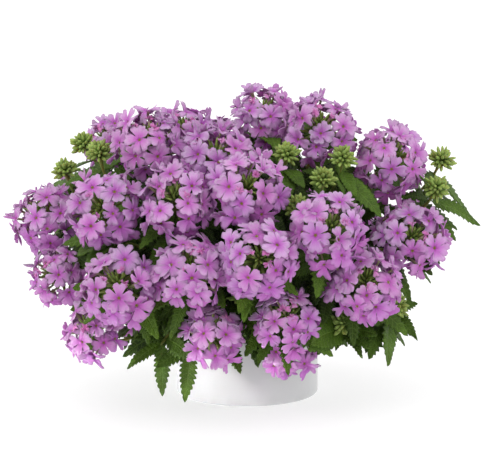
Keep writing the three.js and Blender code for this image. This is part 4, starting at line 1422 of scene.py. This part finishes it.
def paint_leaf(graph, colours):
    """Leaves: dark between sunken veins, paler underneath; painted shade darkens their wrinkles and darkens
    them the deeper they stand.

    u runs from 0 to 1 over the upper face and on to 2 under it, v along the leaf.
    """
    u, v = graph.surface()
    side = graph.math("ABSOLUTE", graph.math("MULTIPLY_ADD", graph.math("PINGPONG", u, 1.0), 2.0, -1.0))
    teeth = bpy.context.scene.verbena_leaves.teeth
    along_teeth = graph.math("MULTIPLY_ADD", v, teeth / TOOTH_RUN, 1 - TOOTH_START * teeth / TOOTH_RUN)
    phase = graph.math("SUBTRACT", along_teeth, graph.math("ADD", side, VEIN_PHASE))
    veins = graph.lines(phase, 0.16)
    midrib = graph.ramp(side, 0.015, 0.09, 1.0, 0.0)
    net = graph.math("MAXIMUM", graph.math("MULTIPLY", veins, 0.75), midrib)
    cells = graph.add(
        "ShaderNodeTexVoronoi", {"Vector": graph.place(), "Scale": 700.0}, feature="DISTANCE_TO_EDGE"
    ).outputs["Distance"]
    wrinkles = graph.ramp(cells, 0.0, 0.35)
    base = graph.math("ADD", graph.patches(45.0, -0.25, 0.25), 0.45)
    bright = graph.math("MULTIPLY_ADD", graph.mark("tone"), 0.5, base)
    # painted shade: leaves deep in the plant are darkened towards the deep leaf colour
    bright = graph.math("MULTIPLY_ADD", graph.mark("depth"), -1.6, bright, clamp=True)
    colour = graph.mix(bright, colours.leaf_deep, colours.leaf)
    # painted shade in the wrinkles' creases and painted light on the bulges between them
    colour = graph.toned(colour, wrinkles, 0.5)
    colour = graph.mix(graph.math("MULTIPLY", net, 0.5), colour, colours.leaf_vein)
    under = graph.math("GREATER_THAN", u, 1.0)
    colour = graph.mix(graph.math("MULTIPLY", under, 0.7), colour, colours.leaf_back)
    relief = graph.math("SUBTRACT", graph.math("MULTIPLY", wrinkles, 0.5), net)
    rough = graph.patches(120.0, 0.42, 0.62)
    return {"Base Color": colour, "Roughness": rough, "Normal": graph.bump(relief, 0.0004)}


def paint_cover_pot(graph, colours):
    """Glossy white plastic with a faint swim of the mould and a little dust low down."""
    position = graph.place()
    height = graph.add("ShaderNodeSeparateXYZ", {0: position}).outputs[2]
    low_down = graph.ramp(height, 0.0, 0.012, 1.0, 0.08)
    dust = graph.math("MULTIPLY", graph.patches(90.0, 0.0, 0.35), low_down)
    colour = graph.mix(0.75, graph.mix(dust, colours.pot, colours.soil), colours.pot)
    swim = graph.noise(position, 12.0, 1.0)
    return {
        "Base Color": colour,
        "Roughness": graph.patches(35.0, 0.3, 0.4),
        "Normal": graph.bump(swim, 0.0001),
    }


def paint_growing_pot(graph, colours):
    """Black plastic with a fine grain, dusted with soil."""
    dust = graph.math("MAXIMUM", graph.patches(160.0, -0.3, 0.6), 0.0)
    return {
        "Base Color": graph.mix(dust, colours.liner, colours.soil),
        "Roughness": graph.patches(80.0, 0.4, 0.62),
        "Normal": graph.bump(graph.grain(900.0), 0.0001),
    }


def paint_soil(graph, colours):
    """Damp soil: crumbs of different browns, with rough faces."""
    crumbs = graph.add("ShaderNodeTexVoronoi", {"Vector": graph.place(), "Scale": 420.0})
    tone = graph.add("ShaderNodeSeparateColor", {0: crumbs.outputs["Color"]}).outputs[0]
    colour = graph.toned(colours.soil, tone, 1.3)
    return {"Base Color": colour, "Normal": graph.bump(graph.grain(600.0), 0.0008)}


def paint_floor(graph, colours):
    """A plain pale floor with hardly any cloudiness."""
    return {"Base Color": graph.toned(colours.floor, graph.patches(3.0, 0.0, 1.0), 0.02)}


# ---------------------------------------------------------------- operators
class VERBENA_OT_pots(bpy.types.Operator):
    """Turn the glossy cover pot and the black growing pot"""

    bl_idname = "verbena.pots"
    bl_label = "Pots"

    def execute(self, context):
        pots = context.scene.verbena_pots
        gloss = new_material("glossy white plastic", paint_cover_pot, Coat_Weight=0.3, Coat_Roughness=0.08)
        satin = new_material("black plastic", paint_growing_pot)
        cover, liner = turned(cover_pot_profile(pots)), turned(growing_pot_profile(pots))
        add_piece("turned_cover_pot", [cover], gloss, "cover_pot", "cover_pot")
        add_piece("turned_growing_pot", [liner], satin, "growing_pot", "growing_pot")
        return {"FINISHED"}


class VERBENA_OT_soil(bpy.types.Operator):
    """Lay the crumbly soil"""

    bl_idname = "verbena.soil"
    bl_label = "Soil"

    def execute(self, context):
        material = new_material("damp soil", paint_soil, Roughness=1.0)
        add_piece("crumbly_soil", [soil_shell(context.scene.verbena_pots)], material, "soil", "soil")
        return {"FINISHED"}


class VERBENA_OT_stems(bpy.types.Operator):
    """Grow the trunks and shoots of every branch"""

    bl_idname = "verbena.stems"
    bl_label = "Stems"

    def execute(self, context):
        material = new_material("olive stem", paint_stem, Roughness=0.6, Subsurface_Weight=0.05)
        for branch in plant():
            name = branch["name"]
            add_piece(f"stems_{name}", [stem_shells(branch)], material, "leaf", f"shoots_{name}")
        return {"FINISHED"}


class VERBENA_OT_leaves(bpy.types.Operator):
    """Set the toothed leaves on the shoots"""

    bl_idname = "verbena.leaves"
    bl_label = "Leaves"

    def execute(self, context):
        material = new_material(
            "veined leaf", paint_leaf, Subsurface_Weight=0.06, Subsurface_Radius=(0.5, 1.0, 0.2),
            Subsurface_Scale=0.0008, Specular_IOR_Level=0.2,
        )
        for b, branch in enumerate(plant()):
            name = branch["name"]
            rng = np.random.default_rng([5, b])
            outer = branch["outer_leaves"]
            lots = [(branch["leaves"][:outer], OUTER), (branch["leaves"][outer:], INNER)]
            shells = [leaf_shells(branch, leaves, grade, rng) for leaves, grade in lots if leaves]
            add_piece(f"leaves_{name}", shells, material, "leaf", f"shoots_{name}")
        return {"FINISHED"}


class VERBENA_OT_flowers(bpy.types.Operator):
    """Cover every head with open and half-open florets"""

    bl_idname = "verbena.flowers"
    bl_label = "Florets"

    def execute(self, context):
        flowers = context.scene.verbena_flowers
        material = new_material(
            "lilac petal", paint_petal, Roughness=0.7, Subsurface_Weight=0.3, Specular_IOR_Level=0.2,
            Subsurface_Radius=(1.0, 0.5, 0.9), Subsurface_Scale=0.0015, Sheen_Weight=0.05,
        )
        for b, branch in enumerate(plant()):
            for item in branch["carried"]:
                if item["kind"] != "head":
                    continue
                rng = np.random.default_rng([3, b, item["number"]])
                name = f"{branch['name']}_{item['number']}"
                shells = [open_florets(item, flowers, rng), half_open_florets(item, flowers, rng)]
                add_piece(f"petals_{name}", shells, material, "petal", f"head_{name}")
        return {"FINISHED"}


class VERBENA_OT_calyces(bpy.types.Operator):
    """Stand the green calyces in the heads and the closed buds on their shoots"""

    bl_idname = "verbena.calyces"
    bl_label = "Calyces and buds"

    def execute(self, context):
        flowers = context.scene.verbena_flowers
        material = new_material("downy calyx", paint_calyx, Roughness=0.6, Subsurface_Weight=0.08)
        for b, branch in enumerate(plant()):
            shells = []
            for item in branch["carried"]:
                rng = np.random.default_rng([7, b, item["number"]])
                if item["kind"] == "head":
                    shells.append(floret_calyces(item, flowers, rng))
                    shells.append(green_middle(item, flowers, rng))
                elif item["kind"] == "bud":
                    shells.append(closed_bud_head(item, flowers, rng))
            add_piece(f"calyces_{branch['name']}", shells, material, "leaf", f"shoots_{branch['name']}")
        return {"FINISHED"}


def add_area_light(name, place, aim, size, power, tint=(1.0, 1.0, 1.0), spread=180):
    """A soft light of the width and height given that faces the aim. Spread is its beam in degrees."""
    light = bpy.data.lights.new(name, "AREA")
    light.shape = "RECTANGLE"
    light.size, light.size_y = size
    light.spread = math.radians(spread)
    light.energy = power
    light.color = tint
    lamp = bpy.data.objects.new(name, light)
    lamp.location = place
    lamp.rotation_euler = (Vector(place) - Vector(aim)).to_track_quat("Z", "Y").to_euler()
    bpy.context.scene.collection.objects.link(lamp)


class VERBENA_OT_stage(bpy.types.Operator):
    """Set up the floor, the light and the camera"""

    bl_idname = "verbena.stage"
    bl_label = "Stage"

    def execute(self, context):
        scene = context.scene
        stage = scene.verbena_stage
        half = 6.0
        corners = [(-half, -half, 0), (half, -half, 0), (half, half, 0), (-half, half, 0)]
        mesh = bpy.data.meshes.new("floor")
        mesh.from_pydata(corners, [], [(0, 1, 2, 3)])
        mesh.materials.append(
            new_material("pale floor", paint_floor, Roughness=0.8, Emission_Color=(1.0, 1.0, 1.0, 1.0),
                         Emission_Strength=stage.floor_glow)
        )
        floor = bpy.data.objects.new("floor", mesh)
        scene.collection.objects.link(floor)

        world = bpy.data.worlds.new("soft light")
        world.use_nodes = True
        background = world.node_tree.nodes["Background"]
        background.inputs["Color"].default_value = (1.0, 1.0, 1.0, 1.0)
        background.inputs["Strength"].default_value = stage.sky
        scene.world = world
        scene.view_settings.view_transform = "Standard"

        aim = (stage.aim_side, 0.0, stage.aim_height)
        add_area_light("key light", (-0.9, -1.25, 1.35), aim, (0.9, 0.9), stage.key, (1.0, 0.985, 0.96))
        add_area_light("fill light", (1.6, 0.5, 0.7), aim, (1.0, 1.0), stage.fill, (0.96, 0.98, 1.0))
        add_area_light(
            "pot light", (-1.09, -0.5, 0.03), (0, 0, 0.025), (0.3, 0.08), stage.pot_light, spread=6
        )

        lens = bpy.data.cameras.new("camera")
        lens.lens = lens.sensor_width * stage.distance / stage.view_width
        camera = bpy.data.objects.new("camera", lens)
        back = facing(0, math.degrees(stage.elevation))
        camera.location = np.array(aim) + back * stage.distance
        camera.rotation_euler = (math.pi / 2 - stage.elevation, 0.0, 0.0)
        scene.collection.objects.link(camera)
        scene.camera = camera
        return {"FINISHED"}


class VERBENA_PT_sidebar(bpy.types.Panel):
    """The plant's sizes, colours and steps"""

    bl_label = "Potted verbena"
    bl_space_type = "VIEW_3D"
    bl_region_type = "UI"
    bl_category = "Verbena"

    def draw(self, context):
        for title, owner, steps in PANEL:
            box = self.layout.box()
            box.label(text=title)
            settings = getattr(context.scene, owner)
            for name in settings.bl_rna.properties.keys():
                if name not in ("rna_type", "name"):
                    box.prop(settings, name)
            for step in steps:
                box.operator(step)


GROUPS = {
    "verbena_pots": VerbenaPots,
    "verbena_flowers": VerbenaFlowers,
    "verbena_leaves": VerbenaLeaves,
    "verbena_colours": VerbenaColours,
    "verbena_stage": VerbenaStage,
}
PANEL = [
    ("Pots and soil", "verbena_pots", ["verbena.pots", "verbena.soil"]),
    ("Flowers", "verbena_flowers", ["verbena.flowers", "verbena.calyces"]),
    ("Leaves and stems", "verbena_leaves", ["verbena.stems", "verbena.leaves"]),
    ("Colours", "verbena_colours", []),
    ("Stage", "verbena_stage", ["verbena.stage"]),
]
CLASSES = [
    *GROUPS.values(),
    VERBENA_OT_pots,
    VERBENA_OT_soil,
    VERBENA_OT_stems,
    VERBENA_OT_leaves,
    VERBENA_OT_flowers,
    VERBENA_OT_calyces,
    VERBENA_OT_stage,
    VERBENA_PT_sidebar,
]


def register():
    for kind in CLASSES:
        bpy.utils.register_class(kind)
    for name, kind in GROUPS.items():
        setattr(bpy.types.Scene, name, PointerProperty(type=kind))


def unregister():
    for name in GROUPS:
        delattr(bpy.types.Scene, name)
    for kind in reversed(CLASSES):
        bpy.utils.unregister_class(kind)


def main():
    """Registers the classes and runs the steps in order."""
    register()
    bpy.ops.verbena.pots()
    bpy.ops.verbena.soil()
    bpy.ops.verbena.stems()
    bpy.ops.verbena.leaves()
    bpy.ops.verbena.flowers()
    bpy.ops.verbena.calyces()
    bpy.ops.verbena.stage()


if __name__ == "__main__":
    main()
